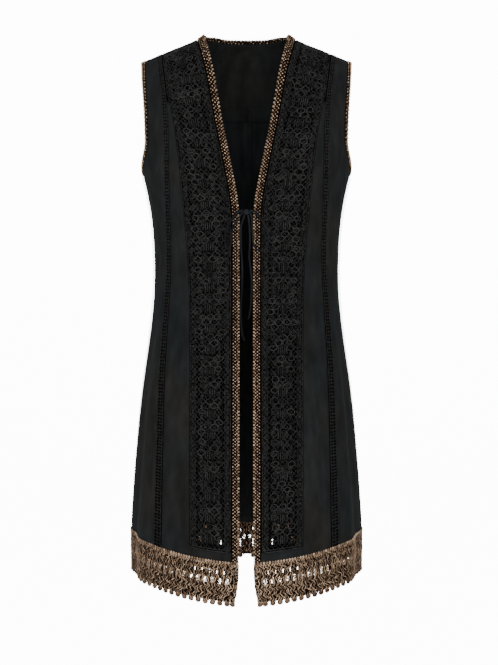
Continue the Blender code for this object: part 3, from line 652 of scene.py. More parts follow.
@dataclass(frozen=True)
class ShadeNodes:
    """Small helper that adds nodes to a material and joins them."""

    tree: bpy.types.NodeTree

    def add(self, kind: str, **values: str) -> bpy.types.Node:
        """Add a node and set its properties by name."""
        node = self.tree.nodes.new(kind)
        for name, value in values.items():
            setattr(node, name, value)
        return node

    def join(self, source: Socket | float, target: Socket) -> None:
        """Join a socket to another, or give it a number."""
        if isinstance(source, float):
            target.default_value = source
        else:
            self.tree.links.new(source, target)

    def noise(self, scale: float, detail: float, source: Socket) -> Socket:
        """Noise of a scale over a source of coordinates."""
        node = self.add("ShaderNodeTexNoise")
        node.inputs["Scale"].default_value = scale
        node.inputs["Detail"].default_value = detail
        self.join(source, node.inputs["Vector"])
        return node.outputs["Fac"]

    def ramp(self, factor: Socket, stops: Sequence[tuple[float, Colour]]) -> Socket:
        """Colour ramp through the stops."""
        node = self.add("ShaderNodeValToRGB")
        elements = node.color_ramp.elements
        while len(elements) < len(stops):
            elements.new(stops[-1][0])
        for element, (place, colour) in zip(elements, stops):
            element.position = place
            element.color = (*colour, 1.0)
        self.join(factor, node.inputs["Fac"])
        return node.outputs["Color"]

    def mix(self, factor: Socket | float, first: Socket, second: Socket, blend: str = "MIX") -> Socket:
        """Mix of two colours."""
        node = self.add("ShaderNodeMix", data_type="RGBA", blend_type=blend)
        self.join(factor, node.inputs["Factor"])
        self.join(first, node.inputs[6])
        self.join(second, node.inputs[7])
        return node.outputs[2]

    def scaled_sum(self, source: Socket, factor: float, extra: Socket | float) -> Socket:
        """Source times a factor, plus something more."""
        node = self.add("ShaderNodeMath", operation="MULTIPLY_ADD")
        self.join(source, node.inputs[0])
        self.join(factor, node.inputs[1])
        self.join(extra, node.inputs[2])
        return node.outputs[0]

    def scaled(self, source: Socket, scale: Place) -> Socket:
        """Coordinates stretched along the axes."""
        node = self.add("ShaderNodeMapping")
        node.inputs["Scale"].default_value = scale
        self.join(source, node.inputs["Vector"])
        return node.outputs["Vector"]

    def bump(self, height: Socket, strength: float, distance: float, shader: bpy.types.Node) -> None:
        """Raise a shader's surface by a height."""
        node = self.add("ShaderNodeBump")
        node.inputs["Strength"].default_value = strength
        node.inputs["Distance"].default_value = distance
        self.join(height, node.inputs["Height"])
        self.join(node.outputs["Normal"], shader.inputs["Normal"])


def new_material(name: str) -> tuple[Material, ShadeNodes, bpy.types.Node]:
    """Material with its Principled shader and a helper for its nodes."""
    material = bpy.data.materials.new(name)
    material.use_nodes = True
    return material, ShadeNodes(material.node_tree), material.node_tree.nodes["Principled BSDF"]


@dataclass(frozen=True)
class SuedeFinish:
    """Napped black suede with a teal and a brown bloom."""

    name: str = "napped_suede"
    dark: Colour = (0.0088, 0.0088, 0.0085)
    teal: Colour = (0.0084, 0.0100, 0.0110)
    brown: Colour = (0.0120, 0.0112, 0.0092)
    teal_scale: float = 6.0
    teal_range: tuple[float, float] = (0.42, 0.62)
    brown_scale: float = 9.0
    brown_range: tuple[float, float] = (0.50, 0.72)
    brown_share: float = 0.8
    brush_scale: float = 60.0
    brush_range: tuple[float, float] = (0.30, 0.70)
    brush_tones: tuple[float, float] = (0.72, 1.30)
    nap_scale: float = 420.0
    nap_height: float = 0.0006
    nap_strength: float = 0.35
    roughness: float = 0.95
    gloss: float = 0.05
    sheen: float = 0.02
    sheen_roughness: float = 0.45
    sheen_tint: Colour = (0.55, 0.68, 0.75)

    def make(self) -> Material:
        """Build the material."""
        material, nodes, shader = new_material(self.name)
        place = nodes.add("ShaderNodeTexCoord").outputs["Object"]
        broad = nodes.noise(self.teal_scale, 3.0, place)
        teal = nodes.ramp(broad, tuple(zip(self.teal_range, (self.dark, self.teal))))
        patchy = nodes.noise(self.brown_scale, 2.0, nodes.scaled(place, (1.0, 1.0, 0.6)))
        share = nodes.ramp(patchy, tuple(zip(self.brown_range, (grey(0.0), grey(self.brown_share)))))
        brown = nodes.add("ShaderNodeRGB")
        brown.outputs[0].default_value = (*self.brown, 1.0)
        bloom = nodes.mix(share, teal, brown.outputs[0])
        brush = nodes.noise(self.brush_scale, 3.0, nodes.scaled(place, (1.0, 1.0, 0.35)))
        worn = nodes.ramp(brush, tuple(zip(self.brush_range, map(grey, self.brush_tones))))
        nodes.join(nodes.mix(1.0, bloom, worn, "MULTIPLY"), shader.inputs["Base Color"])
        shader.inputs["Roughness"].default_value = self.roughness
        shader.inputs["Specular IOR Level"].default_value = self.gloss
        shader.inputs["Sheen Weight"].default_value = self.sheen
        shader.inputs["Sheen Roughness"].default_value = self.sheen_roughness
        shader.inputs["Sheen Tint"].default_value = (*self.sheen_tint, 1.0)
        nap = nodes.noise(self.nap_scale, 4.0, place)
        nodes.bump(nap, self.nap_strength, self.nap_height, shader)
        return material


@dataclass(frozen=True)
class YarnFinish:
    """Crochet yarn whose strands differ a little in tone at random, with painted highlights, shade and glints
    in its colour.
    """

    name: str
    dark: Colour
    middle: Colour
    light: Colour
    roughness: float
    metallic: float = 0.0
    gloss: float = 0.1
    glint_scale: float = 900.0
    glint_share: float = 0.5
    tone_shift: float = -0.30
    tone_stops: tuple[float, float, float] = (0.15, 0.45, 0.80)
    twist: float = 0.4
    twist_height: float = 0.0003

    def make(self) -> Material:
        """Build the material."""
        material, nodes, shader = new_material(self.name)
        place = nodes.add("ShaderNodeTexCoord").outputs["Object"]
        # The tone attribute carries each strand's random tone and its painted highlight and shade
        tone = nodes.add("ShaderNodeAttribute", attribute_name="tone").outputs["Fac"]
        # Painted glints: a fine noise lightens specks of the base colour, and also gives the twist bump
        glint = nodes.noise(self.glint_scale, 2.0, place)
        shifted = nodes.scaled_sum(tone, 1.0, self.tone_shift)
        blend = nodes.scaled_sum(glint, self.glint_share, shifted)
        colours = nodes.ramp(blend, tuple(zip(self.tone_stops, (self.dark, self.middle, self.light))))
        nodes.join(colours, shader.inputs["Base Color"])
        shader.inputs["Roughness"].default_value = self.roughness
        shader.inputs["Metallic"].default_value = self.metallic
        shader.inputs["Specular IOR Level"].default_value = self.gloss
        nodes.bump(glint, self.twist, self.twist_height, shader)
        return material


SUEDE = SuedeFinish()
CUT_SUEDE = SuedeFinish(
    name="cut_suede_lace", dark=(0.005, 0.005, 0.006), teal=(0.010, 0.011, 0.013), brown=(0.012, 0.010, 0.008)
)
BLACK_YARN = YarnFinish(
    name="black_cotton_yarn", dark=grey(0.0027), middle=grey(0.0108), light=(0.035, 0.035, 0.034),
    roughness=0.75, gloss=0.05, glint_scale=700.0,
)
# Painted shade: near-black for the sheets behind the black crochet, which make the voids between the strands
# read as dark
BLACK_SHADE_SHEET = YarnFinish(
    name="black_cotton_ground", dark=grey(0.0010), middle=grey(0.0018), light=grey(0.004),
    roughness=0.95, gloss=0.01, glint_scale=500.0,
)
BRONZE_YARN = YarnFinish(
    name="bronze_metal_yarn", dark=(0.010, 0.004, 0.002), middle=(0.100, 0.054, 0.027),
    light=(0.66, 0.475, 0.32), roughness=0.45, metallic=0.20, gloss=0.25, glint_scale=620.0,
)
# Painted shade: near-black brown for the thin sheets under the bronze stitches, which stand in for the lace's
# back layers and the shade between the strands
BRONZE_SHADE_SHEET = YarnFinish(
    name="bronze_core_yarn", dark=(0.004, 0.0024, 0.0016), middle=(0.010, 0.0060, 0.0038),
    light=(0.024, 0.0144, 0.0088), roughness=0.9, gloss=0.02, glint_scale=400.0,
)


@dataclass
class Finishes:
    """All finishes of the vest, made once."""

    suede: Material = field(default_factory=SUEDE.make)
    lace: Material = field(default_factory=CUT_SUEDE.make)
    black: Material = field(default_factory=BLACK_YARN.make)
    black_net: Material = field(default_factory=BLACK_SHADE_SHEET.make)
    bronze: Material = field(default_factory=BRONZE_YARN.make)
    bronze_core: Material = field(default_factory=BRONZE_SHADE_SHEET.make)


def dress(
    thing: Thing, material: Material, replaced: Sequence[str] = ()
) -> Thing:
    """Give a piece its finish and its body.

    Args:
        thing: The piece.
        material: Its finish.
        replaced: Names of the solids that it stands for.

    Returns:
        The piece.
    """
    thing.data.materials.clear()
    thing.data.materials.append(material)
    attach(thing, "root")
    if replaced:
        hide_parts(*replaced)
    log.info("built %s", thing.name)
    return thing


def shell_object(
    name: str, patch: Patch, thickness: float, down: int | Array, across: int | Array,
    missing: Array | None = None, base: float = 0.0,
) -> Thing:
    """Closed thin shell over a patch, with slightly rounded edges.

    Args:
        name: Name of the piece.
        patch: Where it lies.
        thickness: Wall thickness.
        down: Count of even cells down it, or the shares down at which they end.
        across: The same across it.
        missing: True for each cell (row, column) that is cut through.
        base: Height of its inner face.

    Returns:
        The linked object.
    """
    s, t = (np.linspace(0, 1, cells + 1) if isinstance(cells, int) else cells for cells in (across, down))
    grid_s, grid_t = np.meshgrid(s, t)
    side_clear = np.minimum(grid_s, 1 - grid_s) * patch.widths.mean()
    end_clear = np.minimum(grid_t, 1 - grid_t) * patch.length
    rounding = EDGE_ROUNDING * np.exp(-np.minimum(side_clear, end_clear) / EDGE_REACH)
    outer = patch.at(grid_s, grid_t, base + thickness * (1 - rounding))[0]
    inner = patch.at(grid_s, grid_t, base)[0]
    count = grid_s.size
    index = np.arange(count).reshape(grid_s.shape)
    solid = np.ones((len(t) - 1, len(s) - 1), bool) if missing is None else ~missing
    i, j = np.nonzero(solid)
    faces = np.stack((index[i, j], index[i + 1, j], index[i + 1, j + 1], index[i, j + 1]), axis=-1)
    edges = np.concatenate([faces[:, [k, (k + 1) % 4]] for k in range(4)])
    keys = edges[:, 0] * count + edges[:, 1]
    is_rim = ~np.isin(keys, edges[:, 1] * count + edges[:, 0])
    rim = edges[is_rim]
    walls = np.stack((rim[:, 1], rim[:, 0], rim[:, 0] + count, rim[:, 1] + count), axis=-1)
    vertices = np.concatenate((outer.reshape(-1, 3), inner.reshape(-1, 3)))
    polygons = np.concatenate((faces, faces[:, ::-1] + count, walls))
    used, compact = np.unique(polygons, return_inverse=True)
    polygons = compact.reshape(polygons.shape)
    if is_flipped(patch):
        polygons = polygons[:, ::-1]
    return mesh_object(name, vertices[used], [polygons])


def is_flipped(patch: Patch) -> bool:
    """Whether rows and columns of a patch turn the other way round its outward normal."""
    middle = tuple(n // 2 for n in patch.points.shape[:2])
    down = patch.points[middle[0], middle[1]] - patch.points[middle[0] - 1, middle[1]]
    along = patch.points[middle[0], middle[1]] - patch.points[middle[0], middle[1] - 1]
    return bool(np.dot(np.cross(down, along), patch.normals[middle]) < 0)


@dataclass(frozen=True)
class SuedePieces:
    """Suede pieces: side fronts, gores, hem bands, yoke and backs."""

    form: ClothForm
    thickness: float = 0.0016
    overlap: float = 0.0004
    tape_width: float = 0.0216
    tape_thickness: float = 0.0008
    cell: float = 0.0055
    yoke_seam: float = -0.112
    gore_top: float = -0.102
    band_top: float = -0.860
    lace_overlap: float = 0.0016
    neck_half_width: float = 0.0865
    neck_depth: float = 0.067
    neck_steps: int = 8
    row_step: float = 0.006
    front_columns: int = 40
    gore_columns: int = 16
    back_columns: int = 60
    tape_rows: int = 4
    tape_lift: float = 0.0001
    yoke_tape_gap: float = 0.001
    centre_tape_rows: int = 120
    centre_tape_clear: float = 0.004
    shoulder_tape_gap: float = 0.002
    shoulder_tape_top: float = 0.0002
    shoulder_tape_share: float = 1.35
    side_fade: float = 0.12
    end_fade: float = 30.0
    crease_fall: float = 1.6
    chest_depth: float = 0.13
    chest_half_width: float = 0.18
    creases: tuple[Crease, ...] = (
        *(Crease(Side.LEFT, *row) for row in (
            (-27.0, -0.70, 0.20, 1.6, -0.0016, 1.0), (-17.0, -0.62, 0.16, 1.3, 0.0013, -2.0),
            (-12.0, -0.78, 0.13, 1.2, -0.0013, 1.5), (-31.0, -0.43, 0.09, 1.8, -0.0011, 6.0),
            (-20.0, -0.36, 0.06, 3.0, -0.0010, 9.0), (-24.0, -0.24, 0.05, 2.4, -0.0010, -10.0),
            (24.0, -0.60, 0.17, 2.4, -0.0018, 2.0), (45.0, -0.72, 0.14, 2.2, 0.0016, -2.0),
            (66.0, -0.56, 0.19, 2.6, -0.0015, 1.0), (50.0, -0.37, 0.05, 7.0, -0.0012, 14.0),
            (30.0, -0.40, 0.04, 6.0, 0.0010, -12.0), (62.0, -0.20, 0.07, 4.0, -0.0009, 8.0),
        )),
        *(Crease(Side.RIGHT, *row) for row in (
            (-26.0, -0.66, 0.22, 1.5, -0.0017, -1.0), (-15.0, -0.72, 0.15, 1.4, 0.0012, 2.0),
            (-30.0, -0.52, 0.11, 1.6, 0.0010, -4.0), (-21.0, -0.39, 0.06, 3.2, -0.0012, -8.0),
            (-28.0, -0.26, 0.06, 2.0, -0.0009, 12.0), (22.0, -0.66, 0.15, 2.2, -0.0016, -2.0),
            (43.0, -0.60, 0.20, 2.6, 0.0015, 1.0), (64.0, -0.76, 0.13, 2.4, -0.0017, 2.0),
            (53.0, -0.38, 0.05, 7.0, -0.0011, -14.0), (33.0, -0.35, 0.04, 5.0, 0.0010, 10.0),
            (70.0, -0.24, 0.06, 4.0, -0.0009, -6.0),
        )),
    )

    def creased(self, side: Side, drops: Array, inner: Callable, outer: Callable, columns: int) -> Patch:
        """Patch between two seams with the creases pressed into it, fading at its edges."""
        patch = self.form.patch(side, drops, inner, outer, columns, gap=-self.overlap)
        points = patch.points
        x = np.maximum(points[..., 0] * side.value, 1e-4)
        turn = np.degrees(np.arctan2(points[..., 1] / self.chest_depth, x / self.chest_half_width))
        level = np.broadcast_to(self.form.level_at(drops)[:, None], turn.shape)
        height = np.zeros(turn.shape)
        for crease in self.creases:
            if crease.side is side:
                offset = (level - crease.level) / crease.length
                centre = crease.turn + crease.lean * offset
                reach = np.exp(-(((turn - centre) / crease.spread) ** 2) - (offset * self.crease_fall) ** 2)
                height += crease.height * reach
        share = np.linspace(0, 1, columns)
        down = np.linspace(0, 1, len(drops))
        height *= smooth_step(0.0, self.side_fade, np.minimum(share, 1 - share))[None, :]
        height *= np.minimum(1.0, np.minimum(down, 1 - down) * self.end_fade)[:, None]
        return Patch(points + patch.normals * height[..., None], patch.normals)

    def piece(self, name: str, patch: Patch, finishes: Finishes) -> None:
        """One suede piece over its patch."""
        rows = max(4, round(patch.length / self.cell))
        columns = max(3, round(patch.widths.max() / self.cell))
        thing = shell_object(f"suede_{name}", patch, self.thickness, rows, columns)
        dress(thing, finishes.suede, [name])

    def rows_between(self, top: float, foot: float) -> Array:
        """Drops of fine rows between two drops."""
        return np.linspace(top, foot, max(6, round((foot - top) / self.row_step)))

    def neck_edge(self, angles: Array, clearance: float) -> tuple[Array, Array]:
        """Turns and drops of the back neck seam at angles of its ellipse."""
        across = (self.neck_half_width + clearance) * np.cos(angles)
        depth = np.maximum(HALF_SEAM, (self.neck_depth + clearance) * np.sin(angles))
        drop = np.full(angles.shape, self.form.shoulder_turn / 3)
        for _ in range(self.neck_steps):
            turn = self.form.back_turn(across, drop)
            full = self.form.plain(turn, drop)[..., 1] / self.form.cover(drop)
            drop = self.form.shoulder_round * np.arcsin(np.minimum(1.0, depth / full))
        return self.form.back_turn(across, drop), drop

    def yoke_patch(self) -> Patch:
        """Patch of the yoke, from the shoulder seams and the back neck down to the yoke seam."""
        form = self.form
        end = float(form.armhole_back.at(0.0))
        half = HALF_SEAM
        outer = np.linspace(end - half, self.neck_half_width + half, 18)[:-1]
        turn, drop = self.neck_edge(np.linspace(0, math.pi, 41), half)
        neck = form.plain(turn, drop)[..., 0]
        tops = np.concatenate((np.zeros(len(outer)), np.maximum(0.0, drop - half), np.zeros(len(outer))))
        edges = form.armhole_back.at(form.level_at(tops)) - half
        shares = np.concatenate((outer, neck, -outer[::-1])) / edges
        foot = form.drop_at(self.yoke_seam - self.overlap)
        steps = np.linspace(0, 1, 26)[:, None]
        drops = tops[None, :] + (foot - tops)[None, :] * steps
        across = shares[None, :] * (form.armhole_back.at(form.level_at(drops)) - half)
        return Patch(*form.surface(Side.LEFT, form.back_turn(across, drops), drops))

    def build(self, finishes: Finishes) -> None:
        """Build every suede piece."""
        form = self.form
        foot = form.drop_at(form.lace_top - self.lace_overlap)
        for side in Side:
            letter = side.letter
            drops = self.rows_between(0.0, foot)
            patch = self.creased(side, drops, form.insertion_outer, form.front_outer, self.front_columns)
            self.piece(f"side_front_{letter}", patch, finishes)
            drops = self.rows_between(form.drop_at(self.gore_top), foot)
            patch = self.creased(side, drops, form.panel_outer, form.insertion_inner, self.gore_columns)
            self.piece(f"front_gore_{letter}", patch, finishes)
            drops = self.rows_between(form.drop_at(self.band_top + self.overlap), foot)
            seams = (form.edge_seam, form.panel_outer, self.gore_columns)
            patch = form.patch(side, drops, *seams, gap=-self.overlap)
            self.piece(f"front_hem_band_{letter}", patch, finishes)
            drops = self.rows_between(form.drop_at(self.yoke_seam), foot)
            patch = self.creased(side, drops, form.back_outer, self.centre_back, self.back_columns)
            self.piece(f"back_{letter}", patch, finishes)
        self.piece("back_yoke", self.yoke_patch(), finishes)
        self.tapes(finishes)

    def tapes(self, finishes: Finishes) -> None:
        """Build the turned-in seam allowances of the yoke seam, the centre back and the shoulders."""
        form = self.form
        yoke = form.drop_at(self.yoke_seam)
        half = self.tape_width / 2
        foot = form.drop_at(form.lace_top + self.centre_tape_clear)
        across = np.linspace(yoke - half, yoke + half, self.tape_rows)
        down = np.linspace(yoke + half, foot, self.centre_tape_rows)
        for side in Side:
            seams = (form.back_outer, self.centre_back, self.back_columns)
            patch = form.patch(side, across, *seams, gap=self.yoke_tape_gap)
            self.tape(f"yoke_allowance_{side.letter}", patch, finishes)
        patch = form.patch(
            Side.LEFT, down, lambda drop: form.back_turn(half, drop),
            lambda drop: form.back_turn(-half, drop), self.tape_rows,
        )
        self.tape("centre_back_allowance", patch, finishes)
        for side in Side:
            drops = np.linspace(self.shoulder_tape_top, half * self.shoulder_tape_share, self.tape_rows)
            seams = (form.edge_seam, form.front_outer, self.back_columns)
            patch = form.patch(side, drops, *seams, gap=self.shoulder_tape_gap)
            self.tape(f"shoulder_allowance_front_{side.letter}", patch, finishes)

    def centre_back(self, drop: Array) -> Array:
        """Turn of the centre back."""
        return np.full(drop.shape, math.pi / 2)

    def tape(self, name: str, patch: Patch, finishes: Finishes) -> None:
        """One seam allowance, a thin strip against the inner face."""
        rows = max(2, round(patch.length / self.cell))
        columns = max(2, round(patch.widths.max() / self.cell))
        base = -self.tape_thickness - self.tape_lift
        thing = shell_object(f"suede_{name}", patch, self.tape_thickness, rows, columns, base=base)
        dress(thing, finishes.suede)


@dataclass(frozen=True)
class RingKind:
    """Size and make of one kind of crocheted ring."""

    width: float
    height: float
    steps: int
    thickness: float
    sides: int = 5


@dataclass(frozen=True)
class OpenworkPanel:
    """Black crochet front: rings in diamonds round groups of bars, with a small mesh at both edges.

    Places on it are metres across from its middle and metres down from its top. A pattern row is
    its share of a repeat's height and the places across that it has.
    """

    form: ClothForm
    side: Side
    wall: float = 0.0022
    foot: float = -0.860
    yarn: float = 0.00064
    patch_rows: int = 150
    patch_columns: int = 13
    cloth_share: float = 0.95
    tuck: float = 0.0006
    # Thickness and sink of the sheet of painted shade behind the yarn
    ground: float = 0.0005
    ground_drop: float = 0.0003
    gap_rows: int = 38
    gap_share: float = 0.36
    top_margin: float = 0.020
    foot_margin: float = 0.006
    ground_columns: tuple[float, ...] = (0.0, 0.11, 0.50, 0.89, 1.0)
    gap_columns: tuple[tuple[float, ...], ...] = (
        (0.345, 0.435, 0.565, 0.655), (0.215, 0.305, 0.695, 0.785),
    )
    repeat: float = 0.036
    ring_rows: PatternRows = (
        (0.125, (-0.0210, -0.0070, 0.0070, 0.0210)),
        (0.375, (-0.0280, -0.0140, 0.0140, 0.0280)),
        (0.625, (-0.0210, 0.0210)),
        (0.875, (-0.0280, -0.0140, 0.0, 0.0140, 0.0280)),
    )
    small_rows: PatternRows = (
        (0.125, (-0.0140, 0.0, 0.0140)),
        (0.625, (-0.0280, -0.0140, 0.0140, 0.0280)),
    )
    bar_rows: PatternRows = ((0.27, (-0.0072, -0.0036, 0.0, 0.0036, 0.0072)),)
    large_ring: RingKind = RingKind(0.0064, 0.0050, 12, 1.1)
    inner_ring: RingKind = RingKind(0.0026, 0.0020, 7, 0.75)
    small_ring: RingKind = RingKind(0.0018, 0.0024, 7, 0.9)
    edge_ring: RingKind = RingKind(0.0017, 0.0018, 6, 0.8, sides=4)
    filled_share: float = 0.5
    ring_power: float = 1.5
    wobble: float = 0.13
    shake: float = 0.0007
    size_spread: float = 0.08
    ring_rise: float = 0.0004
    bar_length: float = 0.0145
    bar_tilt: float = 0.0005
    bar_rise: float = 0.0005
    bar_clear: float = 0.016
    edge_mesh: float = 0.011
    top_clear: float = 0.009
    foot_clear: float = 0.007
    mesh_yarn: float = 0.00046
    net_pitch: tuple[float, float] = (0.0038, 0.0042)
    net_inset: float = 0.0015
    net_shake: float = 0.0006
    net_drop: float = 0.0002
    net_rise: float = 0.0003
    edge_columns: int = 3
    edge_inset: float = 0.0018
    edge_step: float = 0.0042
    edge_pitch: float = 0.0043
    edge_start: float = 0.002
    edge_bow: float = 0.0006
    end_rows: tuple[float, ...] = (0.0012, 0.0048, -0.0046, -0.0012)
    end_pitch: float = 0.0034
    end_stitch: float = 0.0044
    end_bow: float = 0.0009

    def ground_net(self, patch: Patch) -> Thing:
        """Thin near-black sheet of painted shade behind the rings, with the panel's largest gaps cut through.
        """
        length = patch.length
        pitch = (length - self.top_margin - self.foot_margin) / self.gap_rows
        starts = self.top_margin + pitch * (np.arange(self.gap_rows) + (1 - self.gap_share) / 2)
        bounds = np.sort(np.concatenate((starts, starts + pitch * self.gap_share)))
        t_values = np.concatenate(((0.0,), bounds / length, (1.0,)))
        s_values = np.sort(np.concatenate((self.ground_columns, *self.gap_columns)))
        missing = np.zeros((len(t_values) - 1, len(s_values) - 1), bool)
        for i in range(self.gap_rows):
            for left in self.gap_columns[i % 2][::2]:
                missing[2 * i + 1, int(np.argmin(np.abs(s_values - left)))] = True
        base = self.wall / 2 - self.ground - self.ground_drop
        return shell_object(
            f"ground_{self.side.letter}", patch, self.ground, t_values, s_values, missing, base
        )

    def half_width(self, patch: Patch, y: Array) -> Array:
        """Half of the panel's width at distances down it."""
        return np.interp(y / patch.length, np.linspace(0, 1, len(patch.widths)), patch.widths) / 2

    def inside(self, patch: Patch, places: Array, reach: float) -> Array:
        """The places that lie between the two edge meshes and clear of both ends."""
        room = self.half_width(patch, places[:, 1]) - self.edge_mesh
        is_in = np.abs(places[:, 0]) + reach < room
        is_in &= (places[:, 1] > self.top_clear) & (places[:, 1] < patch.length - self.foot_clear)
        return places[is_in]

    def repeated(self, patch: Patch, rows: PatternRows) -> Array:
        """Places of some pattern rows in every repeat down the panel."""
        count = round(patch.length / self.repeat)
        step = patch.length / count
        places = [(x, i * step + share * step) for i in range(count) for share, row in rows for x in row]
        return np.array(places)

    def rings(self, yarn: Yarn, centres: Array, kind: RingKind) -> None:
        """Add rounded rhombic rings.

        Args:
            yarn: Batch to add to.
            centres: Places of the rings.
            kind: Their size and make.
        """
        count = len(centres)
        angles = circle(kind.steps)
        across, down = np.cos(angles), np.sin(angles)
        power = self.ring_power
        reach = (np.abs(across) ** power + np.abs(down) ** power) ** (-1 / power)
        wobble = 1 + self.wobble * yarn.chance.standard_normal((count, kind.steps))
        shake = self.shake * yarn.chance.standard_normal((2, count, 1))
        size = 1 + self.size_spread * yarn.chance.standard_normal((count, 1))
        x = centres[:, :1] + shake[0] + kind.width * size * (across * reach)[None] * wobble
        y = centres[:, 1:] + shake[1] + kind.height * size * (down * reach)[None] * wobble
        phase = yarn.chance.random((count, 1)) * 6
        lift = self.wall / 2 + self.ring_rise * np.sin(2 * angles + phase)
        laid = yarn.patch.place(x, y, lift, anchor=0.5)
        yarn.strands(*laid, kind.thickness, is_closed=True, sides=kind.sides)

    def lines(
        self, yarn: Yarn, start: Array, end: Array, bend: Array | float, thickness: Array
    ) -> None:
        """Add short strands.

        Args:
            yarn: Batch to add to.
            start: Places where they start.
            end: Places where they end.
            bend: Sideways bow of the middle.
            thickness: Thickness of each step, as a share of the yarn's.
        """
        flat = curved(start, end, bend, len(thickness))
        lift = self.wall / 2 + self.bar_rise * np.sin(math.pi * np.linspace(0, 1, len(thickness)))[None]
        yarn.strands(*yarn.patch.place(flat[..., 0], flat[..., 1], lift, anchor=0.5), thickness)

    def pattern(self, yarn: Yarn) -> None:
        """Add the rings and the groups of bars."""
        patch = yarn.patch
        rings = self.inside(patch, self.repeated(patch, self.ring_rows), self.large_ring.width * 0.8)
        self.rings(yarn, rings, self.large_ring)
        inner = rings[yarn.chance.random(len(rings)) < self.filled_share]
        self.rings(yarn, inner, self.inner_ring)
        small = self.inside(patch, self.repeated(patch, self.small_rows), 0.001)
        self.rings(yarn, small, self.small_ring)
        bars = self.repeated(patch, self.bar_rows)
        bars = bars[bars[:, 1] < patch.length - self.bar_clear]
        tilt = self.bar_tilt * yarn.chance.standard_normal(len(bars))
        end = bars + np.stack((tilt, np.full(len(bars), self.bar_length)), axis=-1)
        self.lines(yarn, bars, end, tilt, plump(5, 0.7) * 1.1)

    def net(self, yarn: Yarn) -> None:
        """Add the fine diamond net behind the rings, as zigzag strands from top to foot."""
        pitch_x, pitch_y = self.net_pitch
        rows = np.arange(int((yarn.patch.length - 2 * self.net_inset) / pitch_y) + 1)
        y = self.net_inset + pitch_y * rows
        room = self.half_width(yarn.patch, y) - self.net_inset
        count = int(2 * float(room.max()) / pitch_x) + 1
        for k in range(count):
            x = (k - (count - 1) / 2) * pitch_x
            zigzag = np.where((rows + k) % 2, 0.5, -0.5) * pitch_x
            shake = self.net_shake * yarn.chance.standard_normal((2, len(rows)))
            is_in = np.abs(x + zigzag) < room
            splits = np.flatnonzero(np.diff(is_in.astype(int))) + 1
            for part in np.split(rows, splits):
                if len(part) > 2 and is_in[part[0]]:
                    lift = self.wall / 2 - self.net_drop + self.net_rise * np.where(part % 2, 1.0, -1.0)
                    across, down = (x + zigzag + shake[0])[part], (y + shake[1])[part]
                    points, normals = yarn.patch.place(across, down, lift, anchor=0.5)
                    yarn.strands(points[None], normals[None], self.mesh_yarn / self.yarn, sides=3)

    def edge_meshes(self, yarn: Yarn) -> None:
        """Add the small close mesh along both long edges and the rows that close both ends."""
        length = yarn.patch.length
        rows = np.arange(self.edge_start, length - self.edge_start, self.edge_pitch)
        for side in (-1, 1):
            for k in range(self.edge_columns):
                y = rows + (self.edge_pitch / 2 if k % 2 else 0.0)
                y = y[y < length - self.edge_start / 2]
                inset = self.edge_inset + k * self.edge_step
                centres = np.stack((side * (self.half_width(yarn.patch, y) - inset), y), axis=-1)
                if k == 0:
                    chain = plump(4, 0.5) * 1.1
                    self.lines(yarn, centres[:-1], centres[1:], self.edge_bow * side, chain)
                else:
                    self.rings(yarn, centres, self.edge_ring)
        for row in self.end_rows:
            y = row if row > 0 else length + row
            half = float(self.half_width(yarn.patch, np.array(y)))
            x = np.arange(-half + self.edge_start, half - self.edge_start, self.end_pitch)
            start = np.stack((x, np.full(len(x), y)), axis=-1)
            end = start + np.array((self.end_stitch, 0.0))
            self.lines(yarn, start, end, self.end_bow, plump(4, 0.6) * 1.2)

    def build(self, finishes: Finishes) -> None:
        """Build the panel's yarn as one piece, and the sheet of painted shade behind it."""
        form = self.form
        seams = (form.edge_seam, form.panel_outer, self.patch_columns)
        drops = np.linspace(HALF_SEAM, form.drop_at(self.foot + HALF_SEAM), self.patch_rows)
        patch = form.patch(self.side, drops, *seams)
        yarn = Yarn(self.yarn, patch, seed=11 if self.side is Side.LEFT else 12)
        self.pattern(yarn)
        self.net(yarn)
        self.edge_meshes(yarn)
        thing = yarn.build(f"openwork_{self.side.letter}")
        dress(thing, finishes.black, [f"front_crochet_{self.side.letter}"])
        drops = np.linspace(0.0, form.drop_at(self.foot - self.tuck), self.patch_rows)
        ground = self.ground_net(form.patch(self.side, drops, *seams, gap=-self.tuck))
        dress(ground, finishes.black_net)


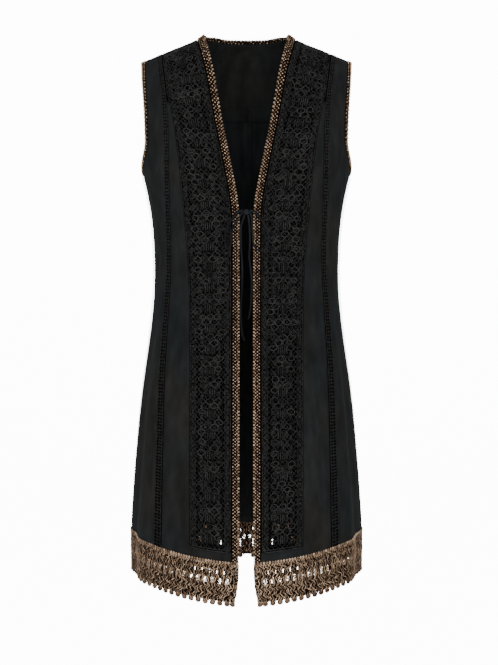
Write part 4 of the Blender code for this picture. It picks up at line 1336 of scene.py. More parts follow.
@dataclass(frozen=True)
class Insertion:
    """Narrow black braid: chains at both edges and in the middle with two columns of small holes."""

    form: ClothForm
    side: Side
    wall: float = 0.0022
    # Thickness of the sheet of painted shade behind the yarn
    ground: float = 0.0004
    tuck: float = 0.0006
    yarn: float = 0.00080
    shade: float = 0.82
    patch_rows: int = 150
    patch_columns: int = 7
    foot_clear: float = 0.004
    chains: tuple[tuple[float, float], ...] = ((0.10, 1.25), (0.50, 1.0), (0.90, 1.25))
    chain_start: float = 0.0005
    chain_pitch: float = 0.0038
    chain_stitch: float = 0.0046
    chain_bow: float = 0.04
    bridges: tuple[tuple[float, float], ...] = ((0.12, 0.50), (0.50, 0.88))
    bridge_start: float = 0.002
    bridge_pitch: float = 0.0056
    bridge_steps: tuple[float, float] = (0.0016, 0.0030)
    rise: float = 0.0005

    def build(self, finishes: Finishes) -> None:
        """Build the braid's yarn as one piece, and the sheet of painted shade behind it."""
        form = self.form
        seams = (form.insertion_inner, form.insertion_outer, self.patch_columns)
        drops = np.linspace(HALF_SEAM, form.drop_at(form.lace_top + HALF_SEAM), self.patch_rows)
        patch = form.patch(self.side, drops, *seams)
        yarn = Yarn(self.yarn, patch, sides=4, seed=21)
        foot = patch.length - self.foot_clear
        y = np.arange(self.chain_start, foot, self.chain_pitch)
        for share, width in self.chains:
            chain = plump(4, 0.6) * width
            self.stitches(yarn, (share, share), (y, y + self.chain_stitch), chain, self.chain_bow)
        rows = np.arange(self.bridge_start, foot, self.bridge_pitch)
        middle, end = (rows + step for step in self.bridge_steps)
        for low, high in self.bridges:
            self.stitches(yarn, (low, high), (rows, middle), 0.95)
            self.stitches(yarn, (high, low), (middle, end), 0.80)
        thing = yarn.build(f"insertion_{self.side.letter}")
        dress(thing, finishes.black, [f"front_insertion_{self.side.letter}"])
        wide = form.patch(self.side, drops, *seams, gap=-self.tuck)
        base = self.wall / 2 - self.ground
        ground = shell_object(f"insertion_ground_{self.side.letter}", wide, self.ground, 140, 3, base=base)
        dress(ground, finishes.black_net)

    def stitches(
        self, yarn: Yarn, across: tuple[float, float], down: tuple[Array, Array],
        thickness: Array | float, bow: float = 0.0,
    ) -> None:
        """Add strands along the braid.

        Args:
            yarn: Batch to add to.
            across: Shares of its width where they start and end.
            down: Distances down it where they start and end.
            thickness: Thickness as a share of the yarn's.
            bow: Sideways bow, as a share of the braid's width.
        """
        share = np.linspace(0, 1, 4)[None]
        hump = np.sin(math.pi * share)
        y = down[0][:, None] * (1 - share) + down[1][:, None] * share
        s = across[0] + (across[1] - across[0]) * share + bow * hump
        laid = yarn.patch.at(s, y / yarn.patch.length, self.wall / 2 + self.rise * hump)
        yarn.strands(*laid, thickness, shade=self.shade)


def band_patch(
    points: Array, normals: Array, width: Array | float, sign: float, columns: int = 5, is_ring: bool = False,
    first: Array | None = None, last: Array | None = None,
) -> Patch:
    """Patch laid flat out from a seam, as a band.

    Args:
        points: Points along the seam.
        normals: The cloth's normals there.
        width: Width of the band, at each point or all along.
        sign: 1 or -1, the side of the seam that it lies on.
        columns: Count of columns.
        is_ring: Whether the seam closes on itself.
        first: Direction across the band at its start.
        last: Direction across it at its end.

    Returns:
        The patch.
    """
    if is_ring:
        tangents = np.roll(points, -1, axis=0) - np.roll(points, 1, axis=0)
    else:
        tangents = np.gradient(points, axis=0)
    across = unit(np.cross(normals, tangents)) * sign
    if first is not None:
        across[0] = unit(first)
    if last is not None:
        across[-1] = unit(last)
    reach = -BAND_TUCK + (np.asarray(width, float)[..., None] + BAND_TUCK) * np.linspace(0, 1, columns)
    grid = points[:, None] + across[:, None] * reach[..., None]
    normal_grid = np.repeat(normals[:, None], columns, axis=1)
    if is_ring:
        grid = np.concatenate((grid, grid[:1]))
        normal_grid = np.concatenate((normal_grid, normal_grid[:1]))
    return Patch(grid, normal_grid)


@dataclass(frozen=True)
class EdgingKind:
    """How one kind of bronze edging is worked.

    Its crown is how far its middle stands up, its start the distance down it of its first stitch,
    and its stretch how much wider apart the stitches are near its start, in all.
    """

    columns: int
    seed: int
    has_bumps: bool = True
    crown: float = 0.0
    start: float = 0.0006
    stretch: float = 0.0
    shade: float = 1.0


@dataclass(frozen=True)
class BraidStitch:
    """Bronze edging stitch: columns of short plump stitches and a bumpy free edge."""

    wall: float = 0.0022
    yarn: float = 0.00094
    pitch: float = 0.0057
    bump: float = 0.0012
    bump_length: float = 0.19
    bump_yarn: float = 0.70
    bump_shade: float = 0.9
    bump_rise: float = 0.0003
    odd_phase: float = 0.66
    even_phase: float = 0.16
    inset: float = 0.10
    free_reach: float = 0.85
    stretch_reach: float = 0.024
    lean: float = 0.27
    stitch_length: float = 0.32
    foot_clear: float = 0.6
    steps: int = 5
    across_shake: float = 0.018
    down_shake: float = 0.0003
    face: float = 0.0004
    hump: float = 0.0008

    def work(self, yarn: Yarn, kind: EdgingKind) -> None:
        """Work the stitch over a band.

        Args:
            yarn: Batch to add to.
            kind: How it is worked.
        """
        length = yarn.patch.length
        y = kind.start + self.pitch * np.arange(int(length / self.pitch))
        y = y + kind.stretch * np.tanh((y - kind.start) / self.stretch_reach)
        y = y[y < length - self.pitch * self.foot_clear]
        share = np.linspace(0, 1, self.steps)[None]
        low, high = (self.inset, self.free_reach) if kind.has_bumps else (0.0, 1.0)
        for k in range(kind.columns):
            middle = low + (high - low) * (k + 0.5) / kind.columns
            lean = (high - low) * self.lean / kind.columns * (1 if k % 2 else -1)
            shift = self.pitch * 0.5 * (k % 2)
            for sign in (1, -1) if kind.has_bumps else (1,):
                shake = yarn.chance.standard_normal((2, len(y), 1))
                s = middle + lean * (2 * share - 1) + self.across_shake * shake[0]
                down = y[:, None] + shift + self.pitch * self.stitch_length * share
                down = down + self.down_shake * shake[1]
                crown = kind.crown * math.sin(math.pi * middle) * (sign > 0)
                lift = self.wall / 2 + crown + sign * (self.face + self.hump * np.sin(math.pi * share))
                laid = yarn.patch.at(s, np.clip(down / length, 0, 1), lift)
                sides = 5 if sign > 0 else 3
                yarn.strands(*laid, plump(self.steps, 0.35), sides=sides, shade=kind.shade)
        if kind.has_bumps:
            phase = self.odd_phase if kind.columns % 2 else self.even_phase
            self.edge_bumps(yarn, y + self.pitch * phase, self.bump_shade * kind.shade)

    def edge_bumps(self, yarn: Yarn, centres: Array, shade: float) -> None:
        """Add small loops along the free edge."""
        angles = circle(8)
        reach = self.bump / yarn.patch.widths.mean()
        y = centres[:, None] + self.pitch * self.bump_length * np.sin(angles)[None]
        y = np.clip(y, 0, yarn.patch.length)
        s = 1.0 - reach + reach * np.cos(angles)[None]
        lift = self.wall / 2 + self.bump_rise * np.sin(angles)[None]
        laid = yarn.patch.at(s, y / yarn.patch.length, lift)
        yarn.strands(*laid, self.bump_yarn, is_closed=True, shade=shade)


@dataclass(frozen=True)
class BronzeEdging:
    """Bronze crochet round the neck, the fronts and the armholes, and down the side seams."""

    form: ClothForm
    suede: SuedePieces
    stitch: BraidStitch = BraidStitch()
    front_kind: EdgingKind = EdgingKind(columns=3, seed=31, start=0.0036, stretch=0.020)
    # Painted light: the armhole and neck edgings are toned lighter, for bands that turn away from the front
    # lamps
    armhole_kind: EdgingKind = EdgingKind(columns=2, seed=32, shade=1.25)
    side_kind: EdgingKind = EdgingKind(columns=3, seed=33, has_bumps=False, crown=0.0026)
    # Painted light: toned lighter, like the armhole edging
    neck_kind: EdgingKind = EdgingKind(columns=2, seed=34, shade=1.25)
    # Thickness of the sheet of painted shade under the stitches
    core: float = 0.0006
    core_cell: float = 0.008
    core_reach: float = 0.90
    cloth_share: float = 0.86
    tuck: float = 0.0004
    neck_width: float = 0.010
    neck_rise: float = 0.0068
    neck_rise_reach: float = 0.034
    armhole_width: float = 0.010
    corner: float = 0.0080
    corner_reach: float = 0.010
    overlap: float = 0.0014
    columns: int = 5
    front_rows: int = 240
    side_rows: int = 160
    neck_rows: int = 81
    armhole_rows: int = 40
    armhole_foot_rows: int = 24

    def piece(self, name: str, patch: Patch, kind: EdgingKind, finishes: Finishes) -> None:
        """Build one edging: its stitches over a thin near-black sheet of painted shade that fills the gaps
        between them.

        Args:
            name: Name of the solid that it stands for.
            patch: Its band.
            kind: How it is worked.
            finishes: The finishes.
        """
        across = np.linspace(0.0, self.core_reach if kind.has_bumps else 1.0, 4)
        down = max(8, round(patch.length / self.core_cell))
        base = self.stitch.wall / 2 - self.core / 2
        core = shell_object(f"core_{name}", patch, self.core, down, across, base=base)
        dress(core, finishes.bronze_core)
        yarn = Yarn(self.stitch.yarn, patch, seed=kind.seed)
        self.stitch.work(yarn, kind)
        thing = yarn.build(f"crochet_{name}")
        dress(thing, finishes.bronze, [name])

    def build(self, finishes: Finishes) -> None:
        """Build every edging."""
        form = self.form
        foot = form.drop_at(form.lace_top + HALF_SEAM)
        for side in Side:
            letter = side.letter
            drops = np.linspace(HALF_SEAM, foot + self.overlap, self.front_rows)
            seams = (form.edge_seam, self.rounded_edge, self.columns)
            patch = form.patch(side, drops, *seams, gap=-self.tuck)
            self.piece(f"front_edging_{letter}", patch, self.front_kind, finishes)
            self.piece(f"armhole_edging_{letter}", self.armhole(side), self.armhole_kind, finishes)
            drops = np.linspace(form.drop_at(form.armhole_bottom - HALF_SEAM), foot, self.side_rows)
            seams = (form.side_turn, lambda drop: -form.side_turn(drop), self.columns)
            patch = form.patch(side, drops, *seams, gap=-self.tuck)
            self.piece(f"side_braid_{letter}", patch, self.side_kind, finishes)
        self.piece("neck_edging", self.neck(), self.neck_kind, finishes)

    def rounded_edge(self, drop: Array) -> Array:
        """Free edge of a front, rounded off at the shoulder seam."""
        across = self.form.front_edge.at(self.form.level_at(drop))
        return self.form.front_turn(across + self.corner * np.exp(-((drop / self.corner_reach) ** 2)), drop)

    def neck(self) -> Patch:
        """Band of the back neck, a little wider where it turns into the fronts."""
        turn, drop = self.suede.neck_edge(np.linspace(0, math.pi, self.neck_rows), 0.0)
        points, normals = self.form.surface(Side.LEFT, turn, drop)
        length = float(np.linalg.norm(np.diff(points, axis=0), axis=1).sum())
        along = np.linspace(0, length, len(points))
        inset = np.minimum(along, along[::-1])
        width = self.neck_width + self.neck_rise * np.exp(-((inset / self.neck_rise_reach) ** 2))
        reach = self.suede.neck_half_width
        height = self.form.shoulder.at(reach - self.neck_width) - self.form.shoulder.at(reach)
        left = np.array((-self.neck_width, 0.0, float(height)))
        right = left * np.array((-1.0, 1.0, 1.0))
        return band_patch(points, normals, width, 1.0, first=left, last=right)

    def armhole(self, side: Side) -> Patch:
        """Band of one armhole, once round."""
        form = self.form
        upper = np.linspace(0.0, form.drop_at(form.armhole_round_top), self.armhole_rows)
        height = form.armhole_round_top - form.armhole_bottom
        angles = math.pi / 2 * np.arange(1, self.armhole_foot_rows + 1) / self.armhole_foot_rows
        levels = form.armhole_round_top - height * np.sin(angles)
        lower = np.array([form.drop_at(level) for level in levels])
        drops = np.concatenate((upper, lower))
        front = form.armhole_turn(drops, True)
        back = form.armhole_turn(drops, False)
        turns = np.concatenate((front, back[-2:0:-1]))
        places = np.concatenate((drops, drops[-2:0:-1]))
        points, normals = form.surface(side, turns, places)
        return band_patch(points, normals, self.armhole_width, float(side.value), is_ring=True)


@dataclass(frozen=True)
class PostRow:
    """Row of leaning posts: how far it is shifted along the hem, its top and foot, its lean and its yarn."""

    shift: float
    top: float
    foot: float
    lean: float
    thickness: float


@dataclass(frozen=True)
class HemLace:
    """Deep bronze hem lace: rows of leaning posts, a row of open gaps, and picots at its foot.

    Distances across run along the hem from its front end, or from the side seam at the back, and
    distances down run from its top. The posts round a gap are measured from the gap's top corner.
    """

    form: ClothForm
    side: Side
    is_front: bool
    wall: float = 0.0022
    yarn: float = 0.00077
    # Thickness of the sheet of painted shade under the stitches
    core: float = 0.0006
    cloth_share: float = 0.86
    tuck: float = 0.0004
    patch_rows: int = 26
    patch_columns: int = 120
    gap_top: float = -0.9015
    gap_foot: float = -0.9110
    edge: float = -0.9410
    picot_tip: float = -0.9475
    pitch: float = 0.0123
    gap_width: float = 0.0048
    front_bar: float = 0.016
    small_gap: float = 0.0010
    small_gap_reach: float = 0.085
    small_gap_shift: float = 0.0030
    back_gap: float = 0.0013
    back_gap_reach: float = 0.060
    post_top: float = 0.0125
    post_foot: float = 0.0180
    low_mark: float = 0.75
    core_foot: float = 0.99
    span: float = 0.27
    # How much darker the front lace is toned at the side seam, as painted shade
    side_shade: float = 0.22
    strand_pitch: float = 0.0037
    lean_jitter: float = 0.0012
    unevenness: float = 0.00060
    wave: float = 0.00075
    hump: float = 0.0006
    post_rise: float = 0.0003
    overlap: float = 0.0008
    low_rows: int = 5
    low_lean: float = 0.0046
    low_shift: float = 0.0018
    chevron_top: float = 0.0006
    chevron_foot: float = 0.0052
    chevron_pitch: float = 0.0046
    loop_pitch: float = 0.0048
    loop_sizes: tuple[float, float, float] = (-0.0012, 0.0012, 0.0018)
    ladder_pitch: float = 0.0046
    ladder_stitch: tuple[float, float] = (0.0052, 0.0030)
    ladder_start: float = 0.0004
    ladder_shade: float = 0.80
    picot_width: float = 0.0042
    picot_shade: float = 0.72
    front_picot: float = 0.0030
    posts: tuple[PostRow, ...] = (
        PostRow(0.0, 0.0044, 0.0094, 0.0040, 0.95),
        PostRow(0.0020, 0.0086, 0.0136, -0.0036, 0.95),
        PostRow(0.0, 0.0125, 0.0190, 0.0016, 1.0),
        PostRow(0.0010, 0.0180, 0.0255, -0.0036, 0.95),
    )
    gap_posts: tuple[PostRow, ...] = (
        PostRow(-0.0074, -0.0008, 0.0103, -0.0012, 1.1),
        PostRow(-0.0044, -0.0008, 0.0103, 0.0016, 1.1),
        PostRow(-0.0014, -0.0008, 0.0103, -0.0012, 1.1),
        PostRow(0.0003, -0.0006, 0.0101, 0.0016, 1.5),
        PostRow(0.0031, -0.0006, 0.0101, 0.0016, 1.5),
        PostRow(0.0016, 0.00375, 0.00635, 0.0020, 0.8),
        PostRow(-0.0010, 0.0002, 0.0018, 0.0066, 1.2),
        PostRow(-0.0006, 0.0075, 0.0091, 0.0066, 1.2),
    )

    @property
    def name(self) -> str:
        """Name of the solid that it stands for."""
        return f"hem_lace_{'front' if self.is_front else 'back'}_{self.side.letter}"

    def start_turn(self, drop: Array) -> Array:
        """Front end of the lace, or the side seam."""
        if self.is_front:
            return self.form.front_turn(self.form.lace_front_edge.at(self.form.level_at(drop)), drop)
        return np.zeros(drop.shape)

    def end_turn(self, drop: Array) -> Array:
        """Side seam, or the centre back."""
        return np.full(drop.shape, 0.0 if self.is_front else math.pi / 2)

    def gap_starts(self, total: float) -> Array:
        """Distances along the hem at which the gaps start."""
        bar = self.pitch - self.gap_width
        first = self.front_bar if self.is_front else bar / 2
        count = round((total - first - bar / 2 + bar) / self.pitch)
        step = (total - first - bar / 2 - self.gap_width) / (count - 1)
        return first + step * np.arange(count)

    def core_object(self, patch: Patch, gaps: Array) -> Thing:
        """Thin near-black sheet of painted shade between the strands, with the gaps cut through."""
        total = float(patch.widths.mean())
        small = gaps[:-1] + self.gap_width + self.small_gap_shift
        small_width = self.small_gap if self.is_front else self.back_gap
        cuts = np.sort(np.concatenate((gaps, gaps + self.gap_width, small, small + small_width)))
        s_values = np.concatenate(((0.0,), cuts / total, (1.0,)))
        top = self.form.lace_top
        marks = np.array((0.0, self.post_top, self.post_foot, top - self.gap_top, top - self.gap_foot))
        t_values = np.concatenate((marks / patch.length, (self.low_mark, self.core_foot)))
        missing = np.zeros((len(t_values) - 1, len(s_values) - 1), bool)
        post_row, gap_row, low_row = 1, 3, 4
        missing[gap_row, 1::4] = True
        if self.is_front:
            missing[post_row, 3::4] = small < self.small_gap_reach
        else:
            is_near = small > total - self.back_gap_reach
            missing[post_row, 3::4] = is_near
            missing[low_row, 3::4] = is_near
        base = self.wall / 2 - self.core / 2
        return shell_object(f"core_{self.name}", patch, self.core, t_values, s_values, missing, base)

    def build(self, finishes: Finishes) -> None:
        """Build the lace: a thin near-black sheet of painted shade with the gaps cut, and its stitches."""
        form = self.form
        drops = np.linspace(form.drop_at(form.lace_top - HALF_SEAM), form.drop_at(self.edge), self.patch_rows)
        seams = (self.start_turn, self.end_turn, self.patch_columns)
        patch = form.patch(self.side, drops, *seams, gap=-self.tuck)
        total = float(patch.widths.mean())
        gaps = self.gap_starts(total)
        core = self.core_object(patch, gaps)
        dress(core, finishes.bronze_core)
        yarn = Yarn(self.yarn, patch, seed=41 + 2 * self.is_front + (self.side is Side.LEFT))
        self.rows(yarn, gaps)
        thing = yarn.build(f"crochet_{self.name}")
        dress(thing, finishes.bronze, [self.name])

    def rows(self, yarn: Yarn, gaps: Array) -> None:
        """Work the rows of the lace from its top edge to its picots.

        Args:
            yarn: Batch to add to.
            gaps: Distances along the hem at which the gaps start.
        """
        total = float(yarn.patch.widths.mean())
        gap_top = self.form.lace_top - self.gap_top
        gap_foot = self.form.lace_top - self.gap_foot
        self.loops(yarn, np.arange(0.003, total - 0.002, self.loop_pitch))
        fine = np.arange(0.001, total - 0.001, self.strand_pitch)
        self.chevrons(yarn, total)
        for row in self.posts:
            self.slants(yarn, fine, row)
        for row in self.gap_posts:
            self.slants(yarn, gaps, row, gap_top)
        step = (yarn.patch.length - gap_foot + self.overlap) / self.low_rows
        for i in range(self.low_rows):
            lean = self.low_lean * (1 if i % 2 else -1)
            row = PostRow(self.low_shift * (i % 2), i * step, (i + 1) * step + self.overlap, lean, 1.0)
            self.slants(yarn, fine, row, gap_foot - self.overlap)
        if self.is_front:
            self.ladder(yarn)
        centres = gaps + self.gap_width / 2 + self.pitch / 2
        centres = np.concatenate((centres, gaps[:1] - self.pitch / 2 + self.gap_width / 2))
        centres = centres[(centres < total) & (centres > 0)]
        if self.is_front:
            centres = np.concatenate((centres, (self.front_picot,)))
        self.picots(yarn, centres)

    def add(
        self, yarn: Yarn, x: Array, y: Array, rise: float, thickness: Array | float,
        is_closed: bool = False, shade: Array | float = 1.0,
    ) -> None:
        """Add strands on the outer face and their like on the inner face.

        Args:
            yarn: Batch to add to.
            x: Distances along the hem, as strand and step.
            y: Distances down it.
            rise: Height of a strand's ends above the middle of the wall.
            thickness: Thickness as a share of the yarn's.
            is_closed: Whether each strand is a ring.
            shade: Share of the full tone that they reach.
        """
        hump = np.sin(math.pi * np.linspace(0, 1, x.shape[1]))[None] * self.hump
        # Painted shade: the front lace is toned darker towards the side seam, where the cloth turns away from
        # the light
        if self.is_front:
            share = np.clip(x.mean(axis=1) / self.span, 0, 1)[:, None, None]
            shade = shade * (1 - self.side_shade * share)
        past_top = np.maximum(-y, 0.0)
        past_foot = np.maximum(y - yarn.patch.length, 0.0)
        for sign in (1, -1):
            lift = self.wall / 2 + sign * (rise + hump)
            points, normals = yarn.patch.place(x, y, lift)
            points[..., 2] += past_top - past_foot
            yarn.strands(points, normals, thickness, is_closed, sides=4 if sign == 1 else 3, shade=shade)

    def chevrons(self, yarn: Yarn, total: float) -> None:
        """Add a row of V stitches along the hem's top."""
        count = int(total / self.chevron_pitch)
        centre = (np.arange(count) + 0.5) * total / count
        top, foot = np.full(count, self.chevron_top), np.full(count, self.chevron_foot)
        for sign in (-1, 1):
            start = np.stack((centre + sign * self.chevron_pitch * 0.48, top), axis=-1)
            end = np.stack((centre + sign * 0.0003, foot), axis=-1)
            flat = curved(start, end, 0.0005 * sign, 4)
            self.add(yarn, flat[..., 0], flat[..., 1], 0.0004, plump(4, 0.6) * 1.2)

    def slants(self, yarn: Yarn, starts: Array, row: PostRow, below: float = 0.0) -> None:
        """Add a row of leaning posts.

        Args:
            yarn: Batch to add to.
            starts: Distances along the hem that the row is shifted from.
            row: The row.
            below: Distance down the lace that the row is measured from.
        """
        x = starts + row.shift
        x = x[x > 0.0005]
        shake = self.unevenness * yarn.chance.standard_normal((4, len(x)))
        lean = row.lean + self.lean_jitter * yarn.chance.standard_normal(len(x))
        start = np.stack((np.clip(x + shake[0], 0, None), below + row.top + shake[1]), axis=-1)
        end = np.stack((np.clip(x + lean - shake[0], 0, None), below + row.foot + shake[2]), axis=-1)
        flat = curved(start, end, 1.6 * shake[3], 4)
        phase = np.linspace(0, 1, 4)[None] + yarn.chance.random((len(x), 1))
        across = np.clip(flat[..., 0] + self.wave * np.sin(2 * math.pi * phase), 0, None)
        self.add(yarn, across, flat[..., 1], self.post_rise, plump(4, 0.75) * row.thickness)

    def ladder(self, yarn: Yarn) -> None:
        """Add the short stitches that close the lace's front end."""
        rows = np.arange(-self.ladder_start, yarn.patch.length, self.ladder_pitch)
        start = np.stack((np.full(len(rows), self.ladder_start), rows), axis=-1)
        flat = curved(start, start + np.array(self.ladder_stitch), 0.0006, 4)
        thickness = plump(4, 0.6) * 1.05
        self.add(yarn, flat[..., 0], flat[..., 1], 0.0006, thickness, shade=self.ladder_shade)

    def loops(self, yarn: Yarn, x: Array) -> None:
        """Add a row of small loops over the suede at the lace's top."""
        y, width, height = self.loop_sizes
        angles = circle(8)
        grid_x = x[:, None] + width * np.cos(angles)[None]
        grid_y = y + height * np.sin(angles)[None] + np.zeros_like(grid_x)
        points, normals = yarn.patch.place(grid_x, np.maximum(grid_y, 0.0), self.wall + 0.0002)
        points[..., 2] += np.maximum(-grid_y, 0.0)
        yarn.strands(points, normals, 0.8, is_closed=True)

    def picots(self, yarn: Yarn, x: Array) -> None:
        """Add the picots that hang from the lace's lower edge."""
        tip = self.edge - self.picot_tip
        angles = circle(11)
        for size, thickness in ((0.92, 1.55), (0.38, 1.75)):
            grid_x = x[:, None] + self.picot_width * size * np.sin(angles)[None]
            hang = tip * 0.34 - tip * 0.56 * size * np.cos(angles)[None]
            grid_y = yarn.patch.length + hang + np.zeros_like(grid_x)
            self.add(yarn, grid_x, grid_y, 0.00015, thickness, is_closed=True, shade=self.picot_shade)


@dataclass(frozen=True)
class TieLace:
    """One stretch of the suede tie: its route in metres, and what it ends in."""

    name: str
    far_end: str
    route: tuple[Place, ...]
    lay: str = "hanging"


@dataclass(frozen=True)
class Tie:
    """Narrow suede lace tied in a bow: a span across the gap, two loops, two ends and the knot."""

    width: float = 0.0030
    thickness: float = 0.0021
    strip_sides: int = 10
    sway: float = 0.5
    groove: float = 0.16
    knot_centre: Place = (0.0, -0.1425, -0.2935)
    knot_sizes: Place = (0.0055, 0.0038, 0.0046)
    laces: tuple[TieLace, ...] = (
        TieLace("tie_span", "object", (
            (-0.0180, -0.1290, -0.2925), (-0.0178, -0.1335, -0.2924), (-0.0120, -0.1371, -0.2925),
            (0.0000, -0.1368, -0.2935), (0.0120, -0.1371, -0.2925), (0.0178, -0.1335, -0.2924),
            (0.0180, -0.1290, -0.2925),
        )),
        TieLace("tie_loop_L", "knot", (
            (0.0059, -0.1430, -0.2905), (0.0150, -0.1420, -0.2940), (0.0252, -0.1385, -0.3062),
            (0.0321, -0.1350, -0.3183), (0.0368, -0.1315, -0.3284), (0.0373, -0.1280, -0.3420),
            (0.0339, -0.1262, -0.3520), (0.0261, -0.1260, -0.3578), (0.0170, -0.1290, -0.3555),
            (0.0122, -0.1330, -0.3460), (0.0110, -0.1375, -0.3320), (0.0100, -0.1405, -0.3160),
            (0.0088, -0.1420, -0.3020), (0.0065, -0.1422, -0.2953),
        )),
        TieLace("tie_loop_R", "knot", (
            (-0.0059, -0.1430, -0.2905), (-0.0145, -0.1420, -0.2945), (-0.0235, -0.1385, -0.3050),
            (-0.0305, -0.1350, -0.3160), (-0.0345, -0.1315, -0.3290), (-0.0350, -0.1280, -0.3440),
            (-0.0311, -0.1262, -0.3545), (-0.0262, -0.1275, -0.3480), (-0.0250, -0.1320, -0.3340),
            (-0.0222, -0.1365, -0.3200), (-0.0150, -0.1405, -0.3060), (-0.0062, -0.1422, -0.2950),
        )),
        TieLace("tie_end_L", "bare", (
            (0.0028, -0.1422, -0.2984), (0.0042, -0.1395, -0.3070), (0.0056, -0.1352, -0.3200),
            (0.0060, -0.1348, -0.3368), (0.0056, -0.1345, -0.3553), (0.0049, -0.1343, -0.3688),
            (0.0069, -0.1340, -0.3856), (0.0087, -0.1337, -0.4041), (0.0088, -0.1333, -0.4230),
            (0.0076, -0.1330, -0.4469), (0.0061, -0.1328, -0.4612), (0.0035, -0.1326, -0.4729),
        )),
        TieLace("tie_end_R", "bare", (
            (-0.0028, -0.1422, -0.2984), (-0.0062, -0.1392, -0.3080), (-0.0094, -0.1352, -0.3200),
            (-0.0090, -0.1346, -0.3420), (-0.0083, -0.1342, -0.3604), (-0.0069, -0.1340, -0.3790),
            (-0.0066, -0.1336, -0.4010), (-0.0072, -0.1333, -0.4240), (-0.0095, -0.1330, -0.4530),
            (-0.0088, -0.1327, -0.4790), (-0.0061, -0.1325, -0.5010), (-0.0025, -0.1324, -0.5094),
        )),
    )

    def path(self, route: Sequence[Sequence[float]], step: float = 0.0025) -> Array:
        """Evenly spaced points on a smooth curve through a route."""
        points = np.array(route)
        padded = np.concatenate((2 * points[:1] - points[1:2], points, 2 * points[-1:] - points[-2:-1]))
        t = np.linspace(0, 1, 24, endpoint=False)[:, None]
        fine = [
            (padded[i + 1] * (2 - 5 * t**2 + 3 * t**3) + padded[i] * (-t + 2 * t**2 - t**3)
             + padded[i + 2] * (t + 4 * t**2 - 3 * t**3) + padded[i + 3] * (-(t**2) + t**3)) / 2
            for i in range(len(points) - 1)
        ]
        curve = np.concatenate((*fine, points[-1:]))
        reached = np.concatenate(((0,), np.cumsum(np.linalg.norm(np.diff(curve, axis=0), axis=1))))
        count = max(8, round(reached[-1] / step))
        places = np.linspace(0, reached[-1], count + 1)
        return np.stack([np.interp(places, reached, curve[:, axis]) for axis in range(3)], axis=-1)

    def build(self, finishes: Finishes) -> None:
        knot = self.knot()
        dress(knot, finishes.lace, ["tie_knot"])
        for lace in self.laces:
            points = self.path(lace.route)
            thing = self.strip(lace, points)
            dress(thing, finishes.lace, [lace.name])
            [knot] if lace.name == "tie_span" else ()

    def strip(self, lace: TieLace, points: Array) -> Thing:
        """Flat suede strip with rounded edges that turns a little along its length."""
        tangents = unit(np.gradient(points, axis=0))
        turn = self.sway * np.sin(np.linspace(0, 5.0, len(points)) + len(lace.route))
        facing = np.stack((np.sin(turn), -np.cos(turn), np.zeros(len(points))), axis=-1)
        across = unit(np.cross(tangents, facing))
        up = np.cross(across, tangents)
        angles = circle(self.strip_sides)
        wide = np.sign(np.cos(angles)) * np.abs(np.cos(angles)) ** 0.7 * self.width / 2
        high = np.sign(np.sin(angles)) * np.abs(np.sin(angles)) ** 0.8 * self.thickness / 2
        rings = points[:, None] + across[:, None] * wide[None, :, None] + up[:, None] * high[None, :, None]
        index = np.arange(len(points) * self.strip_sides).reshape(-1, self.strip_sides)
        here, after = index[:-1], index[1:]
        faces = np.stack((here, after, np.roll(after, -1, axis=1), np.roll(here, -1, axis=1)), axis=-1)
        caps = [index[:1], index[-1:, ::-1]]
        return mesh_object(f"lace_{lace.name}", rings.reshape(-1, 3), [faces.reshape(-1, 4), *caps])

    def knot(self) -> Thing:
        """Knot of wound lace: a rounded lump with slanting grooves."""
        rows, columns = 18, 28
        polar = np.linspace(0, math.pi, rows + 1)[1:-1]
        angles = circle(columns)
        grid_angle, grid_polar = np.meshgrid(angles, polar)
        groove = 1 - self.groove * np.abs(np.sin(1.5 * grid_polar + grid_angle)) ** 6
        ring = np.sin(grid_polar)
        shape = np.stack((ring * np.cos(grid_angle), ring * np.sin(grid_angle), np.cos(grid_polar)), axis=-1)
        shape = shape * groove[..., None]
        poles = np.array(((0.0, 0.0, 1.0), (0.0, 0.0, -1.0)))
        vertices = np.concatenate((shape.reshape(-1, 3), poles)) * self.knot_sizes + self.knot_centre
        index = np.arange(grid_angle.size).reshape(grid_angle.shape)
        here, after = index[:-1], index[1:]
        faces = np.stack((here, after, np.roll(after, -1, axis=1), np.roll(here, -1, axis=1)), axis=-1)
        top = np.stack((np.full(columns, grid_angle.size), index[0], np.roll(index[0], -1)), axis=-1)
        foot = np.stack((np.full(columns, grid_angle.size + 1), np.roll(index[-1], -1), index[-1]), axis=-1)
        return mesh_object("lace_tie_knot", vertices, [faces.reshape(-1, 4), top, foot])


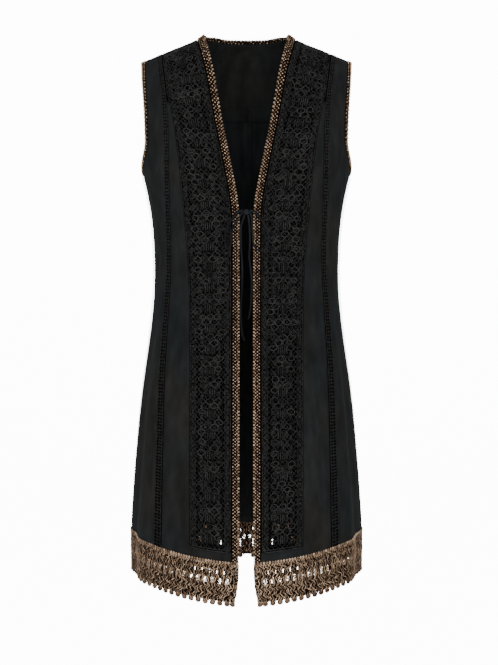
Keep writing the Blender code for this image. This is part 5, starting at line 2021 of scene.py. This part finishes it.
@dataclass(frozen=True)
class Studio:
    """Camera, pale floor and backdrop, and soft light."""

    distance: float = 2.20
    eye_height: float = -0.357
    centre_shift: float = 0.0045
    lens: float = 66.7
    shift_down: float = -0.124
    floor_level: float = -1.30
    sweep_glow: float = 13.0
    air: float = 0.50

    def camera(self) -> None:
        """Camera at the photograph's viewing angle."""
        data = bpy.data.cameras.new("camera")
        data.lens = self.lens
        data.sensor_width = 36.0
        data.shift_y = self.shift_down
        camera = link(bpy.data.objects.new("camera", data))
        camera.location = (self.centre_shift, -self.distance, self.eye_height)
        camera.rotation_euler = (math.pi / 2, 0.0, 0.0)
        bpy.context.scene.camera = camera

    def backdrop(self) -> None:
        """Pale floor, with a bright paper sweep that the camera sees behind the vest."""
        floor = self.sheet_along("studio_floor", [(-4.0, 0.0), (5.0, 0.0)], 5.0)
        floor.data.materials.append(self.paper("pale_floor", 0.35))
        corner = [
            (3.0 + 0.9 * math.sin(a), 0.9 - 0.9 * math.cos(a)) for a in np.linspace(0.1, math.pi / 2, 14)
        ]
        sweep = self.sheet_along("studio_sweep", [(0.5, 0.0), (3.0, 0.0), *corner, (3.9, 3.4)], 1.35, 0.002)
        sweep.data.materials.append(self.paper("white_sweep", self.sweep_glow))
        sweep.visible_diffuse = False
        sweep.visible_glossy = False

    def sheet_along(
        self, name: str, profile: Sequence[tuple[float, float]], half_width: float, rise: float = 0.0
    ) -> Thing:
        """Sheet of the studio along a profile of (back, up) places above the floor."""
        level = self.floor_level + rise
        vertices = np.array([(x, y, z + level) for y, z in profile for x in (-half_width, half_width)])
        faces = np.array([(2 * i, 2 * i + 1, 2 * i + 3, 2 * i + 2) for i in range(len(profile) - 1)])
        thing = mesh_object(name, vertices, [faces])
        return thing

    def paper(self, name: str, glow: float) -> Material:
        """White paper lit from behind."""
        material, _, shader = new_material(name)
        shader.inputs["Base Color"].default_value = (0.92, 0.92, 0.92, 1.0)
        shader.inputs["Roughness"].default_value = 0.9
        shader.inputs["Emission Color"].default_value = (1.0, 1.0, 1.0, 1.0)
        shader.inputs["Emission Strength"].default_value = glow
        return material

    def light(self, name: str, place: Place, aim: Place, size: float, power: float) -> None:
        """One soft area light."""
        data = bpy.data.lights.new(name, "AREA")
        data.size = size
        data.energy = power
        lamp = link(bpy.data.objects.new(name, data))
        lamp.location = place
        lamp.rotation_euler = (Vector(aim) - Vector(place)).to_track_quat("-Z", "Y").to_euler()

    def build(self) -> None:
        """Build the whole studio."""
        self.camera()
        self.backdrop()
        self.light("key", (-0.9, -2.9, 0.7), (0.0, 0.0, -0.4), 1.3, 62.0)
        self.light("fill", (0.6, -3.0, -0.1), (0.0, 0.0, -0.5), 1.0, 62.0)
        self.light("top", (0.0, -0.6, 2.4), (0.0, 0.0, -0.4), 2.0, 18.0)

        world = bpy.data.worlds.new("studio_air")
        world.use_nodes = True
        world.node_tree.nodes["Background"].inputs["Color"].default_value = (1.0, 1.0, 1.0, 1.0)
        world.node_tree.nodes["Background"].inputs["Strength"].default_value = self.air
        bpy.context.scene.world = world


def corners(bounds: Sequence[Sequence[float]]) -> list[list[float]]:
    """Box as plain lists of numbers."""
    return [[float(value) for value in corner] for corner in bounds]


def main() -> None:
    """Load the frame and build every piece."""
    logging.basicConfig(level=logging.INFO, format="%(name)s: %(message)s")
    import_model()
    Studio().build()
    finishes = Finishes()
    Tie().build(finishes)
    form = ClothForm()
    suede = SuedePieces(form)
    suede.build(finishes)
    for side in Side:
        OpenworkPanel(form, side).build(finishes)
        Insertion(form, side).build(finishes)
        HemLace(form, side, True).build(finishes)
        HemLace(form, side, False).build(finishes)
    BronzeEdging(form, suede).build(finishes)


if __name__ == "__main__":
    main()
